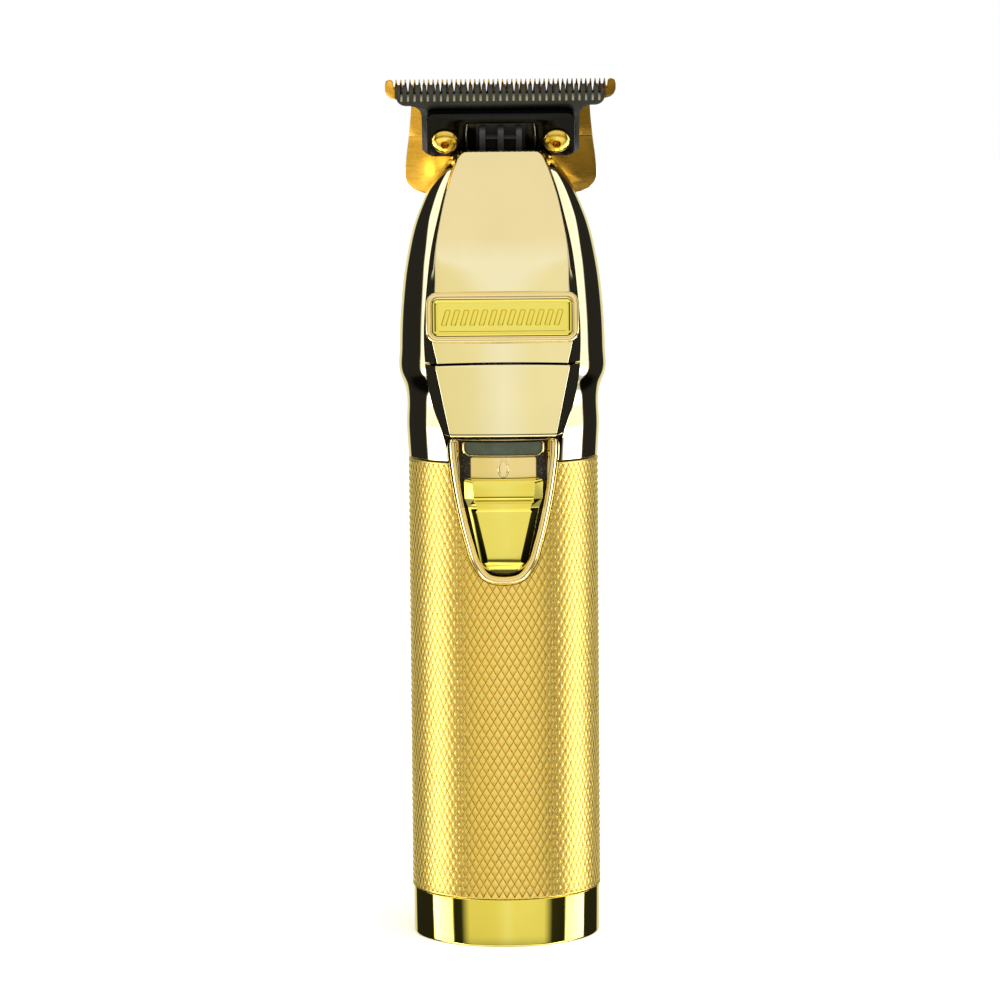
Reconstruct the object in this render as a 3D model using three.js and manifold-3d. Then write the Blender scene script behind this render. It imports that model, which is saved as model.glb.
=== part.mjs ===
// Cordless T-blade hair trimmer, in millimetres.
// Z runs up the axis of the round body from the flat underside of its end cap, the front with the
// switch faces -Y, and X runs along the cutting edge. The blade set leans forward over the head.
import * as THREE from 'three';
import { mergeVertices } from 'three/addons/utils/BufferGeometryUtils.js';
import Module from 'manifold-3d';

const wasm = await Module();
wasm.setup();

// ---------- driving dimensions ----------
const GAP = 0.3; // clearance between two separate pieces
const FACETS = 32; // facets round the body's large circles
const INNER_FACETS = 20; // facets round the motor, battery and boards
const SMALL_FACETS = 12; // facets round a screw, pin or bearing
const FAR = 30; // reach of a cutting solid past the body

const CAP = { radius: 17.6, height: 9.1, edge: 1.2, floor: 2, wall: 1.8, jackRadius: 3.3 };
const SPIGOT = { radius: 16.05, wall: 1.7, top: 12.8, grooveLow: 10.2, grooveHigh: 11.4, groove: 0.9 };
const SLEEVE = { outer: 17.85, inner: 16.4, top: 90.4 };
const CHASSIS = { outer: 15.9, inner: 14.4, bottom: 14, top: 100, bossX: 12.2, bossReach: 6 };
const CHASSIS_SCREW_HEIGHTS = [18.5, 88];

// Radius of the round head at some heights; a smooth curve runs through them.
const HEAD_PROFILE = [
  [17.8, 90.7], [18.1, 96], [18.4, 104], [19.3, 106.3], [19.3, 111],
  [18.95, 119], [17.9, 127.5], [15.7, 136], [11.2, 144.4], [8.2, 147.8],
];
const HEAD = { bottom: 90.7, top: 147.8, wall: 1.6, splitY: 2, steps: 15 };

// Centre line of the crowned front panel, as [Y, Z], and the radius of its crown.
const PANEL_LINE = [
  [-18.6, 88], [-19.3, 98], [-19.6, 108], [-19.5, 117], [-19, 124],
  [-17.5, 131], [-14.6, 136], [-10.5, 142], [-6.45, 148], [-1.75, 155],
];
const PANEL = { crown: 55, halfWidth: 24, seamRise: 0.35, low: 95.5, back: -13.7 };
// Right-hand outline of the raised front, as [half width, height], upwards from the seam.
const ISLAND = [[12.6, 107], [12.4, 112], [12.5, 122], [12.8, 130], [9.9, 140], [8, 146]];
const LOWER_PANEL = [[9.8, 95.5], [12.5, 108.7]];

// Right-hand outline of the switch's V frame, as [half width, height], downwards.
const V_FRAME = [[10.5, 95.2], [10.4, 92.5], [9.95, 88.5], [8.8, 82], [7.2, 75.5], [5.8, 71.4], [3.7, 68.8]];
const FRAME = { bottom: 68, rim: 2, inner: 16.7, floor: 17, outer: 19 };
const SLIDER = { top: 87.8, gap: 0.35, inner: 17.9, base: 18.4, face: -19.4, travel: 3.5 };
const SLIDER_FACE = [[5.8, 87.5], [5.5, 84], [4.9, 83], [2.4, 71.6]];
const STEM = { halfWidth: 1.4, low: 77.5, high: 82.5, tip: -15.2 };

const BADGE = { width: 28.2, height: 9.4, corner: 2.3, border: 1.3, z: 117.6, back: -18.1, front: -20.1 };

const BLADE = { tilt: 35, tipY: -5.4, tipZ: 160.8 };
const FIXED = { thickness: 1.8, teeth: 46, pitch: 0.858, toothDepth: 3.4, bottom: -26.3, neckBottom: -20.5 };
const MOVING = {
  low: 0.3, high: 1.5, slots: 31, pitch: 1.225, tip: -0.7, root: -3.8,
  half: 19.3, barBottom: -4.7, stem: 14.7, bottom: -15.8,
};
const TENSION = {
  low: 1.8, high: 3.2, halfWidth: 13.9, top: -5.5, bottom: -15.2, notch: 6.75, notchTop: -7.7,
};
const BLADE_SCREW = { x: 10.4, v: -11.4, head: 2.55, headHeight: 1.6, shank: 1.3, tip: -1.4 };
const MOUNT_SCREW = { x: 8, v: -22.5, head: 2.3, headHeight: 1.2, shank: 1.1 };
const STROKE = 0.9; // throw of the eccentric, and travel of the moving blade each way

const MOTOR = { radius: 12, wall: 1, bottom: 94.6, top: 126, shaft: 1.5, bearing: 4, plate: 15.4 };
const CAM = { radius: 5, bottom: 129.5, top: 136 };
const PIN = { radius: 0.75, bottom: 133, top: 144.9 };
const ROLLER = { outer: 1.5, inner: 0.95, bottom: 139.4, top: 144.6 };
const YOKE = {
  halfWidth: 4.8, plate: 4.6, plateTop: -8.1, plateBottom: -20, barV: -10.9,
  front: -3.4, back: 5, bottom: 139, top: 146.2, roof: 145.4,
};
const RIBS = { x: [-3.4, 0, 3.4], halfWidth: 0.55, top: -8.6, bottom: -17.5, rise: 0.8 };
const SPRING = { x: 6.35, radius: 0.22, hook: 0.8 };

const BATTERY = { radius: 9, bottom: 18, top: 68 };
const CONTACT = { radius: 5, thickness: 1 };
const BOARD = { halfWidth: 7, front: -12.4, back: -11.2, bottom: 60, top: 94 };
const SWITCH_BODY = { halfWidth: 3.5, front: -14.6, bottom: 76, top: 84 };
const LED = { halfWidth: 1.5, front: -14, bottom: 92, top: 93.6 };
const WINDOW = { halfWidth: 7.6, bottom: 92, top: 94.5, corner: 0.6, inner: 17.2, outer: 18.3 };
const OFF_MARK = { halfWidth: 6.05, bottom: 87.4, top: 91.6, corner: 0.3, inner: 17.15, outer: 17.6 };
const CHARGE_ROUTE = [
  [8.4, 8.4, 14.6], [8.4, 8.4, 20], [8.4, 8.4, 60], [8, 8, 72], [6, -2, 78], [5, -10.5, 80],
];
const JACK = { outer: 4.6, inner: 3, bottom: 2.3, top: 12, pin: 1, pinBottom: 4.6 };

// ---------- finishes ----------
const finish = (color, roughness, metalness) => new THREE.MeshStandardMaterial({ color, roughness, metalness });
const polishedGold = finish(0xf3e8b9, 0.08, 1);
const yellowGold = finish(0xe5d65f, 0.15, 1);
const knurledGold = finish(0xdec055, 0.35, 1);
const rimGold = finish(0xe1c896, 0.12, 1);
const bladeGold = finish(0xe1af3c, 0.3, 1);
const blackBlade = finish(0x2a2c30, 0.35, 0.6);
const blackPlastic = finish(0x18191b, 0.45, 0);
const smokedWindow = finish(0x4a5248, 0.1, 0);
const steel = finish(0xb9bcc0, 0.3, 1);
const copper = finish(0xb87346, 0.35, 1);
const magnet = finish(0x4b4d52, 0.5, 0.6);
const greenBoard = finish(0x1f6b3a, 0.5, 0);
const batteryWrap = finish(0x2f6fae, 0.4, 0);
const rubber = finish(0x202020, 0.8, 0);
const greyPlastic = finish(0x5c6064, 0.6, 0);
const redWire = finish(0xb3261e, 0.5, 0);
const brass = finish(0xc9a655, 0.3, 1);
const clearLed = finish(0xdfe8ff, 0.1, 0);

// ---------- solids ----------
function solid(geometry) {
  const bare = geometry.clone();
  bare.deleteAttribute('normal');
  bare.deleteAttribute('uv');
  const merged = mergeVertices(bare, 1e-4);
  const corners = merged.index.array;
  const triangles = [];
  for (let i = 0; i < corners.length; i += 3) {
    const [a, b, c] = corners.slice(i, i + 3);
    if (a !== b && b !== c && c !== a) triangles.push(a, b, c);
  }
  const mesh = new wasm.Mesh({
    numProp: 3,
    vertProperties: new Float32Array(merged.attributes.position.array),
    triVerts: new Uint32Array(triangles),
  });
  return new wasm.Manifold(mesh);
}

function cut(body, ...tools) {
  return tools.reduce((rest, tool) => rest.subtract(tool), body);
}

function join(body, ...others) {
  return others.reduce((sum, other) => sum.add(other), body);
}

function addPiece(parent, name, body, material) {
  const { numProp, vertProperties, triVerts } = body.getMesh();
  const geometry = new THREE.BufferGeometry();
  geometry.setAttribute('position', new THREE.BufferAttribute(new Float32Array(vertProperties), numProp));
  geometry.setIndex(new THREE.BufferAttribute(new Uint32Array(triVerts), 1));
  geometry.computeVertexNormals();
  const mesh = new THREE.Mesh(geometry, material);
  mesh.name = name;
  parent.add(mesh);
  return mesh;
}

// ---------- basic forms ----------
// Turned solid about Z from a profile of [radius, height], listed anticlockwise.
function turned(profile, facets = FACETS) {
  const geometry = new THREE.LatheGeometry(profile.map(([r, z]) => new THREE.Vector2(r, z)), facets);
  geometry.rotateX(Math.PI / 2);
  return solid(geometry);
}

function ring(inner, outer, low, high, facets = FACETS) {
  return turned([[inner, low], [outer, low], [outer, high], [inner, high], [inner, low]], facets);
}

function rod(radius, low, high, facets = FACETS) {
  return turned([[0, low], [radius, low], [radius, high], [0, high]], facets);
}

function block(x0, x1, y0, y1, z0, z1) {
  const geometry = new THREE.BoxGeometry(x1 - x0, y1 - y0, z1 - z0);
  geometry.translate((x0 + x1) / 2, (y0 + y1) / 2, (z0 + z1) / 2);
  return solid(geometry);
}

// Rod along Y, from y0 to y1, round the point x, z.
function rodAlongY(radius, x, z, y0, y1) {
  const geometry = new THREE.CylinderGeometry(radius, radius, y1 - y0, SMALL_FACETS);
  geometry.translate(x, (y0 + y1) / 2, z);
  return solid(geometry);
}

function flatExtrusion(shape, low, high, curveSegments = 8) {
  const geometry = new THREE.ExtrudeGeometry(shape, { depth: high - low, bevelEnabled: false, curveSegments });
  geometry.translate(0, 0, low);
  return geometry;
}

function plate(shape, low, high, curveSegments) {
  return solid(flatExtrusion(shape, low, high, curveSegments));
}

// Outline seen from the front, in X and Z, carried through from yFront to yBack.
function frontPrism(shape, yFront, yBack, curveSegments = 4) {
  const geometry = flatExtrusion(shape, -yBack, -yFront, curveSegments);
  geometry.rotateX(Math.PI / 2);
  return solid(geometry);
}

function polygon(points) {
  return new THREE.Shape(points.map(([x, y]) => new THREE.Vector2(x, y)));
}

// Closed outline from its right-hand side, mirrored to the left.
function mirrored(right) {
  const left = right.filter(([x]) => x !== 0).map(([x, y]) => [-x, y]).reverse();
  return polygon([...right, ...left]);
}

function roundedRectangle(x0, y0, x1, y1, r) {
  const shape = new THREE.Shape();
  shape.absarc(x1 - r, y0 + r, r, -Math.PI / 2, 0);
  shape.absarc(x1 - r, y1 - r, r, 0, Math.PI / 2);
  shape.absarc(x0 + r, y1 - r, r, Math.PI / 2, Math.PI);
  shape.absarc(x0 + r, y0 + r, r, Math.PI, Math.PI * 1.5);
  return shape;
}

// Slot with round ends along x, centred on x, y.
function slotShape(x, y, reach, r) {
  const shape = new THREE.Shape();
  shape.absarc(x + reach, y, r, -Math.PI / 2, Math.PI / 2);
  shape.absarc(x - reach, y, r, Math.PI / 2, Math.PI * 1.5);
  return shape;
}

function wire(points, radius, steps) {
  const section = new THREE.Shape();
  section.absarc(0, 0, radius, 0, Math.PI * 2);
  const extrudePath = new THREE.CatmullRomCurve3(points.map((point) => new THREE.Vector3(...point)));
  return solid(new THREE.ExtrudeGeometry(section, { steps, curveSegments: 4, extrudePath }));
}

// Plain screw along Z, hidden inside the trimmer, with its head's underside at z = 0.
function hiddenScrew(headRadius, headHeight, shankRadius, length) {
  return turned([
    [0, -length], [shankRadius, -length], [shankRadius, 0], [headRadius, 0],
    [headRadius, headHeight * 0.6], [headRadius * 0.7, headHeight], [0, headHeight],
  ], SMALL_FACETS);
}

// Domed screw along Z with its head's underside at z = 0 and a hexagon socket on top.
function screw(headRadius, headHeight, shankRadius, length) {
  const shoulder = headHeight * 0.3;
  const profile = [[0, -length], [shankRadius, -length], [shankRadius, 0], [headRadius, 0]];
  const steps = 3;
  for (let i = 0; i <= steps; i += 1) {
    const angle = (i / steps) * (Math.PI / 2);
    const z = shoulder + Math.sin(angle) * (headHeight - shoulder);
    profile.push([i === steps ? 0 : headRadius * Math.cos(angle), z]);
  }
  const body = turned(profile, SMALL_FACETS);
  const socket = new THREE.CylinderGeometry(headRadius * 0.33, headRadius * 0.33, headHeight, 6);
  socket.rotateX(Math.PI / 2);
  socket.translate(0, 0, headHeight);
  return cut(body, solid(socket));
}

// ---------- head surface ----------
const bladePlace = new THREE.Matrix4()
  .makeRotationX(THREE.MathUtils.degToRad(90 + BLADE.tilt))
  .setPosition(0, BLADE.tipY, BLADE.tipZ);

// Moves a solid drawn in the blade's frame (x, up the blade, out of its front) into the part's frame.
function onBlade(body) {
  return body.transform(bladePlace.elements);
}

function headSections() {
  const curve = new THREE.SplineCurve(HEAD_PROFILE.map(([r, z]) => new THREE.Vector2(r, z)));
  return curve.getPoints(HEAD.steps).map((point) => [point.x, point.y]);
}

// Space in front of the crowned panel, moved back by an inset.
function spaceBeforePanel(inset) {
  const section = new THREE.Shape();
  const arcs = 8;
  for (let i = 0; i <= arcs; i += 1) {
    const x = PANEL.halfWidth * (2 * (i / arcs) - 1);
    const y = -inset - (x * x) / (2 * PANEL.crown);
    if (i === 0) section.moveTo(x, y);
    else section.lineTo(x, y);
  }
  section.lineTo(PANEL.halfWidth, FAR);
  section.lineTo(-PANEL.halfWidth, FAR);
  const extrudePath = new THREE.CatmullRomCurve3(PANEL_LINE.map(([y, z]) => new THREE.Vector3(0, y, z)));
  return solid(new THREE.ExtrudeGeometry(section, { steps: 16, extrudePath }));
}

function headInside(inset) {
  const walls = headSections().map(([r, z]) => [r - inset, z]);
  const [lowRadius] = walls[0];
  const [highRadius] = walls[walls.length - 1];
  const profile = [[0, HEAD.bottom - 3], [lowRadius, HEAD.bottom - 3], ...walls, [highRadius, HEAD.top + 3]];
  const behindSeat = onBlade(block(-FAR, FAR, -2 * FAR, FAR, -FAR, inset - FIXED.thickness));
  return cut(turned([...profile, [0, HEAD.top + 3]]), spaceBeforePanel(inset), behindSeat);
}

function lowerPanelShape(grow) {
  const [[lowHalf, low], [highHalf, high]] = LOWER_PANEL;
  const shape = new THREE.Shape();
  shape.moveTo(-lowHalf - grow, low - grow);
  shape.lineTo(lowHalf + grow, low - grow);
  shape.lineTo(highHalf + grow, high + grow);
  shape.quadraticCurveTo(0, high + 2 * PANEL.seamRise + grow, -highHalf - grow, high + grow);
  return shape;
}

// Outline of the V frame, grown outwards along its normals, with its straight top edge moved up by lift.
function vFrameShape(grow, lift = 0) {
  const right = [...V_FRAME, [0, FRAME.bottom]];
  const grown = right.map(([x, z], i) => {
    if (x === 0) return [0, z - grow];
    const [x0, z0] = right[Math.max(i - 1, 0)];
    const [x1, z1] = right[i + 1];
    const length = Math.hypot(x1 - x0, z1 - z0);
    return [x + (grow * (z0 - z1)) / length, z + (grow * (x1 - x0)) / length];
  });
  grown[0][1] = V_FRAME[0][1] + lift;
  return mirrored(grown);
}

function badgeShape(grow) {
  const halfWidth = BADGE.width / 2 + grow;
  const halfHeight = BADGE.height / 2 + grow;
  const corner = BADGE.corner + grow;
  return roundedRectangle(-halfWidth, BADGE.z - halfHeight, halfWidth, BADGE.z + halfHeight, corner);
}

function headBody() {
  const sections = headSections();
  const round = turned([[0, HEAD.bottom], ...sections, [0, HEAD.top]]);
  const island = frontPrism(mirrored([...ISLAND, [6.6, HEAD.top], [0, HEAD.top]]), -FAR, -3);
  const badgeBase = frontPrism(badgeShape(-0.4), BADGE.back - 1, -9);
  const underTensionPlate = onBlade(block(-FAR, FAR, MOVING.bottom - 0.4, FAR, -FAR, TENSION.high + GAP));
  const fixedBladePocket = onBlade(block(-FAR, FAR, FIXED.bottom - GAP, FAR, -FAR, GAP));
  const behindBlade = onBlade(block(-FAR, FAR, -2 * FAR, FAR, -FAR, -FIXED.thickness));
  const shaped = join(cut(join(round, island), spaceBeforePanel(0)), badgeBase);
  const badgePocket = frontPrism(badgeShape(GAP), -FAR, BADGE.back + GAP);
  const hollow = cut(shaped, badgePocket, headInside(HEAD.wall));
  const screwRoom = [-1, 1].flatMap((side) => [
    rod(BLADE_SCREW.head + 0.5, 0, 8, SMALL_FACETS).translate(side * BLADE_SCREW.x, BLADE_SCREW.v, 0),
    rod(MOUNT_SCREW.shank + GAP, -4, 4, SMALL_FACETS).translate(side * MOUNT_SCREW.x, MOUNT_SCREW.v, 0),
  ]).map(onBlade);
  return cut(hollow, underTensionPlate, fixedBladePocket, behindBlade, ...screwRoom);
}

// ---------- base: end cap, sleeve, charging socket ----------
function endCap() {
  const spigotInner = SPIGOT.radius - SPIGOT.wall;
  return turned([
    [CAP.jackRadius, 0.4], [CAP.jackRadius + 0.4, 0], [CAP.radius - CAP.edge, 0], [CAP.radius - 0.35, 0.35],
    [CAP.radius, CAP.edge], [CAP.radius, CAP.height - GAP], [SPIGOT.radius, CAP.height - GAP],
    [SPIGOT.radius, SPIGOT.grooveLow], [SPIGOT.radius - SPIGOT.groove, SPIGOT.grooveLow],
    [SPIGOT.radius - SPIGOT.groove, SPIGOT.grooveHigh], [SPIGOT.radius, SPIGOT.grooveHigh],
    [SPIGOT.radius, SPIGOT.top], [spigotInner, SPIGOT.top], [spigotInner, CAP.floor],
    [CAP.jackRadius, CAP.floor], [CAP.jackRadius, 0.4],
  ]);
}

function capRing() {
  const bottom = SPIGOT.grooveLow + 0.1;
  const top = SPIGOT.grooveHigh - 0.1;
  return ring(SPIGOT.radius - SPIGOT.groove + 0.1, SPIGOT.radius + 0.2, bottom, top);
}

function gripSleeve() {
  const tube = ring(SLEEVE.inner, SLEEVE.outer, CAP.height, SLEEVE.top);
  return cut(tube, frontPrism(vFrameShape(GAP), -FAR, -5));
}

function chargeSocket() {
  const { outer, inner, bottom, top } = JACK;
  const rest = top - 1.6;
  return turned([
    [inner, bottom], [outer, bottom], [outer, top], [JACK.pin + GAP, top],
    [JACK.pin + GAP, rest], [inner, rest], [inner, bottom],
  ], SMALL_FACETS);
}

// ---------- chassis, battery and boards ----------
function chassisBosses() {
  const bosses = [];
  for (const side of [-1, 1]) {
    for (const z of CHASSIS_SCREW_HEIGHTS) {
      bosses.push(rodAlongY(2.2, side * CHASSIS.bossX, z, -CHASSIS.bossReach, CHASSIS.bossReach));
    }
  }
  return bosses;
}

function chassisHoles() {
  const holes = [];
  for (const side of [-1, 1]) {
    for (const z of CHASSIS_SCREW_HEIGHTS) {
      holes.push(rodAlongY(1.2, side * CHASSIS.bossX, z, -FAR, CHASSIS.bossReach - 0.8));
      holes.push(rodAlongY(2.2, side * CHASSIS.bossX, z, -FAR, -CHASSIS.bossReach + 0.01));
    }
  }
  return holes;
}

function chassisHalf(front) {
  const tube = ring(CHASSIS.inner, CHASSIS.outer, CHASSIS.bottom, CHASSIS.top);
  const whole = cut(join(tube, ...chassisBosses()), ...chassisHoles());
  const near = front ? -GAP / 2 : -FAR;
  const far = front ? FAR : GAP / 2;
  const half = cut(whole, block(-FAR, FAR, near, far, 0, HEAD.top));
  if (!front) return half;
  return cut(half, block(-5.3, 5.3, -FAR, -5, 70, 94.8));
}

function mainBoard() {
  const outline = roundedRectangle(-BOARD.halfWidth, BOARD.bottom, BOARD.halfWidth, BOARD.top, 1.5);
  return frontPrism(outline, BOARD.front, BOARD.back, 3);
}

// Component soldered to the front of the main board.
function onBoard({ halfWidth, front, bottom, top }) {
  return block(-halfWidth, halfWidth, front, BOARD.front - 0.1, bottom, top);
}

// ---------- switch ----------
function curvedPlate(shape, inner, outer) {
  return ring(inner, outer, FRAME.bottom - 2, PANEL.low).intersect(frontPrism(shape, -FAR, -5));
}

function curvedTile({ halfWidth, bottom, top, corner, inner, outer }) {
  return curvedPlate(roundedRectangle(-halfWidth, bottom, halfWidth, top, corner), inner, outer);
}

function switchFascia() {
  const body = curvedPlate(vFrameShape(0), FRAME.inner, FRAME.outer);
  const opening = frontPrism(vFrameShape(-FRAME.rim, -0.5), -FAR, -5);
  const recess = cut(opening, rod(FRAME.floor, 0, HEAD.bottom + 10));
  const slotTop = STEM.high + SLIDER.travel + 0.5;
  const slot = block(-STEM.halfWidth - 0.5, STEM.halfWidth + 0.5, -FAR, -5, STEM.low - 0.5, slotTop);
  return cut(body, recess, slot);
}

function switchSlider() {
  const outline = curvedPlate(vFrameShape(-FRAME.rim - SLIDER.gap), SLIDER.inner, SLIDER.base);
  const base = cut(outline, block(-FAR, FAR, -FAR, 0, SLIDER.top, HEAD.top));
  const raised = frontPrism(mirrored(SLIDER_FACE), SLIDER.face, -16);
  const stem = block(-STEM.halfWidth, STEM.halfWidth, -SLIDER.inner - 0.2, STEM.tip, STEM.low, STEM.high);
  const groove = block(-FAR, FAR, -FAR, SLIDER.face + 0.5, 82.1, 82.9);
  const face = cut(raised, rod(SLIDER.inner, 0, HEAD.bottom), groove);
  return join(base, face, stem);
}

function sliderCarrier() {
  const body = block(-4, 4, -15.7, -15, 74.5, 85.5);
  const hole = block(-STEM.halfWidth - GAP, STEM.halfWidth + GAP, -FAR, 0, STEM.low - GAP, STEM.high + GAP);
  return cut(body, hole);
}

// ---------- blade set, in the blade's own frame ----------
function fixedBladeShape() {
  const { pitch, teeth, toothDepth, neckBottom, bottom } = FIXED;
  const halfRow = (teeth * pitch) / 2;
  const shape = new THREE.Shape();
  shape.moveTo(-halfRow, -0.4);
  for (let i = 0; i < teeth; i += 1) {
    const x = -halfRow + (i + 0.5) * pitch;
    shape.lineTo(x - 0.09, 0);
    shape.lineTo(x + 0.09, 0);
    if (i < teeth - 1) shape.lineTo(x + pitch / 2, -toothDepth);
  }
  shape.lineTo(halfRow, -0.4);
  shape.bezierCurveTo(halfRow + 1.2, 0.2, 21.7, -0.6, 21.45, -2);
  shape.bezierCurveTo(21.3, -3.4, 20.5, -4.1, 19, -4.2);
  shape.lineTo(16.6, -6);
  shape.lineTo(18, neckBottom);
  shape.bezierCurveTo(18.3, neckBottom - 3.6, 16, bottom, 12.4, bottom);
  shape.lineTo(-12.4, bottom);
  shape.bezierCurveTo(-16, bottom, -18.3, neckBottom - 3.6, -18, neckBottom);
  shape.lineTo(-16.6, -6);
  shape.lineTo(-19, -4.2);
  shape.bezierCurveTo(-20.5, -4.1, -21.3, -3.4, -21.45, -2);
  shape.bezierCurveTo(-21.7, -0.6, -halfRow - 1.2, 0.2, -halfRow, -0.4);
  return shape;
}

function fixedBlade() {
  const body = plate(fixedBladeShape(), -FIXED.thickness, 0, 5);
  const taper = new THREE.BoxGeometry(2 * FAR, 12, 3);
  taper.translate(0, 6, -1.5);
  taper.rotateX(THREE.MathUtils.degToRad(14));
  taper.translate(0, -5.5, -FIXED.thickness);
  const holes = [-1, 1].flatMap((side) => [
    rod(BLADE_SCREW.shank + GAP, -FAR, FAR, SMALL_FACETS).translate(side * BLADE_SCREW.x, BLADE_SCREW.v, 0),
    rod(MOUNT_SCREW.shank + GAP, -FAR, FAR, SMALL_FACETS).translate(side * MOUNT_SCREW.x, MOUNT_SCREW.v, 0),
  ]);
  return cut(body, solid(taper), ...holes);
}

function movingBladeShape() {
  const { slots, pitch, tip, root, half, barBottom, stem, bottom } = MOVING;
  const neck = barBottom - 2.2;
  const shape = new THREE.Shape();
  shape.moveTo(-half, tip - 0.5);
  for (let i = 0; i < slots; i += 1) {
    const x = (i - (slots - 1) / 2) * pitch;
    shape.lineTo(x - 0.35, tip);
    shape.lineTo(x - 0.26, root);
    shape.lineTo(x + 0.26, root);
    shape.lineTo(x + 0.35, tip);
  }
  shape.lineTo(half, tip - 0.5);
  shape.lineTo(half, barBottom + 1.6);
  shape.quadraticCurveTo(half, barBottom, half - 1.6, barBottom);
  shape.lineTo(stem + 2.2, barBottom);
  shape.quadraticCurveTo(stem, barBottom, stem, neck);
  shape.lineTo(stem, bottom + 1);
  shape.lineTo(stem - 1, bottom);
  shape.lineTo(1 - stem, bottom);
  shape.lineTo(-stem, bottom + 1);
  shape.lineTo(-stem, neck);
  shape.quadraticCurveTo(-stem, barBottom, -stem - 2.2, barBottom);
  shape.lineTo(1.6 - half, barBottom);
  shape.quadraticCurveTo(-half, barBottom, -half, barBottom + 1.6);
  return shape;
}

const BOSS = BLADE_SCREW.shank + 0.7; // radius of the tension plate's bosses

function movingBlade() {
  const body = plate(movingBladeShape(), MOVING.low, MOVING.high, 5);
  const slots = [-1, 1].map((side) => {
    const shape = slotShape(side * BLADE_SCREW.x, BLADE_SCREW.v, STROKE, BOSS + 0.25);
    return plate(shape, 0, 3, 6);
  });
  return cut(body, ...slots);
}

function tensionPlate() {
  const { low, high, halfWidth, top, bottom, notch, notchTop } = TENSION;
  const body = plate(roundedRectangle(-halfWidth, bottom, halfWidth, top, 1.3), low, high, 4);
  const opening = plate(roundedRectangle(-notch, bottom - 5, notch, notchTop, 0.8), 0, 5, 3);
  const bosses = [-1, 1].map((side) => (
    rod(BOSS, MOVING.low, high, SMALL_FACETS).translate(side * BLADE_SCREW.x, BLADE_SCREW.v, 0)
  ));
  const holes = [-1, 1].map((side) => (
    rod(BLADE_SCREW.shank + GAP, -1, 5, SMALL_FACETS).translate(side * BLADE_SCREW.x, BLADE_SCREW.v, 0)
  ));
  return cut(join(cut(body, opening), ...bosses), ...holes);
}

// Wire spring hooked over the top of the tension plate's opening, with its tail inside the head.
function tensionSpring(side) {
  const x = side * SPRING.x;
  const hook = side * SPRING.hook;
  const top = TENSION.notchTop - 0.65;
  return wire([
    [x - hook, top - 0.45, 1.95], [x - hook * 0.3, top, 2.3], [x, top - 0.75, 2.6],
    [x, -13, 2.7], [x, -17.3, 3.1], [x + side, -19.4, 4.8],
  ], SPRING.radius, 10);
}

// U-shaped carrier inside the neck that the fixed blade is screwed to from behind.
function bladeMount() {
  const outline = [
    [6.4, -18.6], [12, -18.6], [12, -28], [-12, -28], [-12, -18.6], [-6.4, -18.6], [-6.4, -24.2], [6.4, -24.2],
  ];
  const body = plate(polygon(outline), GAP, 3.4);
  const holes = [-1, 1].map((side) => (
    rod(MOUNT_SCREW.shank + GAP, -1, 9, SMALL_FACETS).translate(side * MOUNT_SCREW.x, MOUNT_SCREW.v, 0)
  ));
  return onBlade(cut(body, ...holes)).intersect(headInside(HEAD.wall + GAP));
}

// Carrier that turns the eccentric's turn into the moving blade's stroke, slotted for the roller.
function bladeYoke() {
  const { low, high } = TENSION;
  const ribs = RIBS.x.map((x) => (
    block(x - RIBS.halfWidth, x + RIBS.halfWidth, RIBS.bottom, RIBS.top, low, high + RIBS.rise)
  ));
  const bar = block(RIBS.x[0], RIBS.x[2], YOKE.barV - 0.25, YOKE.barV + 0.25, low, high + 0.3);
  const back = block(-YOKE.plate, YOKE.plate, YOKE.plateBottom, YOKE.plateTop, low, high);
  const upper = onBlade(join(back, bar, ...ribs));
  const slotHalf = 2 * STROKE + ROLLER.outer + 0.25;
  const slotReach = STROKE + ROLLER.outer + GAP;
  const drive = block(-YOKE.halfWidth, YOKE.halfWidth, YOKE.front, YOKE.back, YOKE.bottom, YOKE.top);
  const slot = block(-slotHalf, slotHalf, -slotReach, slotReach, YOKE.bottom - 1, YOKE.roof);
  const bladeSide = onBlade(block(-FAR, FAR, -FAR, FAR, -FAR, low));
  return cut(join(upper, drive), slot, bladeSide);
}

// ---------- motor and drive ----------
function motorScrewHoles(low, high) {
  return [-1, 1].map((side) => rod(1.3, low, high, SMALL_FACETS).translate(side * 8, 0, 0));
}

function motorCan() {
  const { radius, wall, bottom, top, bearing } = MOTOR;
  const plateLow = top - 1.5;
  const seat = bearing + GAP;
  return cut(turned([
    [radius - wall, bottom + 2.4], [radius, bottom + 2.4], [radius, top], [seat - 2, top],
    [seat - 2, plateLow], [seat, plateLow], [seat, plateLow - 2.6], [seat + 1.2, plateLow - 2.6],
    [seat + 1.2, plateLow], [radius - wall, plateLow], [radius - wall, bottom + 2.4],
  ], INNER_FACETS), ...motorScrewHoles(top - 4, top + 1));
}

function motorEndBell() {
  const { radius, wall, bottom, bearing } = MOTOR;
  const seat = bearing + GAP;
  const spigot = radius - wall - GAP;
  return turned([
    [seat - 2, bottom], [radius, bottom], [radius, bottom + 2.1], [spigot, bottom + 2.1],
    [spigot, bottom + 4], [spigot - 1.2, bottom + 4], [spigot - 1.2, bottom + 1.2], [seat + 1.2, bottom + 1.2],
    [seat + 1.2, bottom + 3.6], [seat, bottom + 3.6], [seat, bottom + 1], [seat - 2, bottom + 1],
    [seat - 2, bottom],
  ], INNER_FACETS);
}

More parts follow.
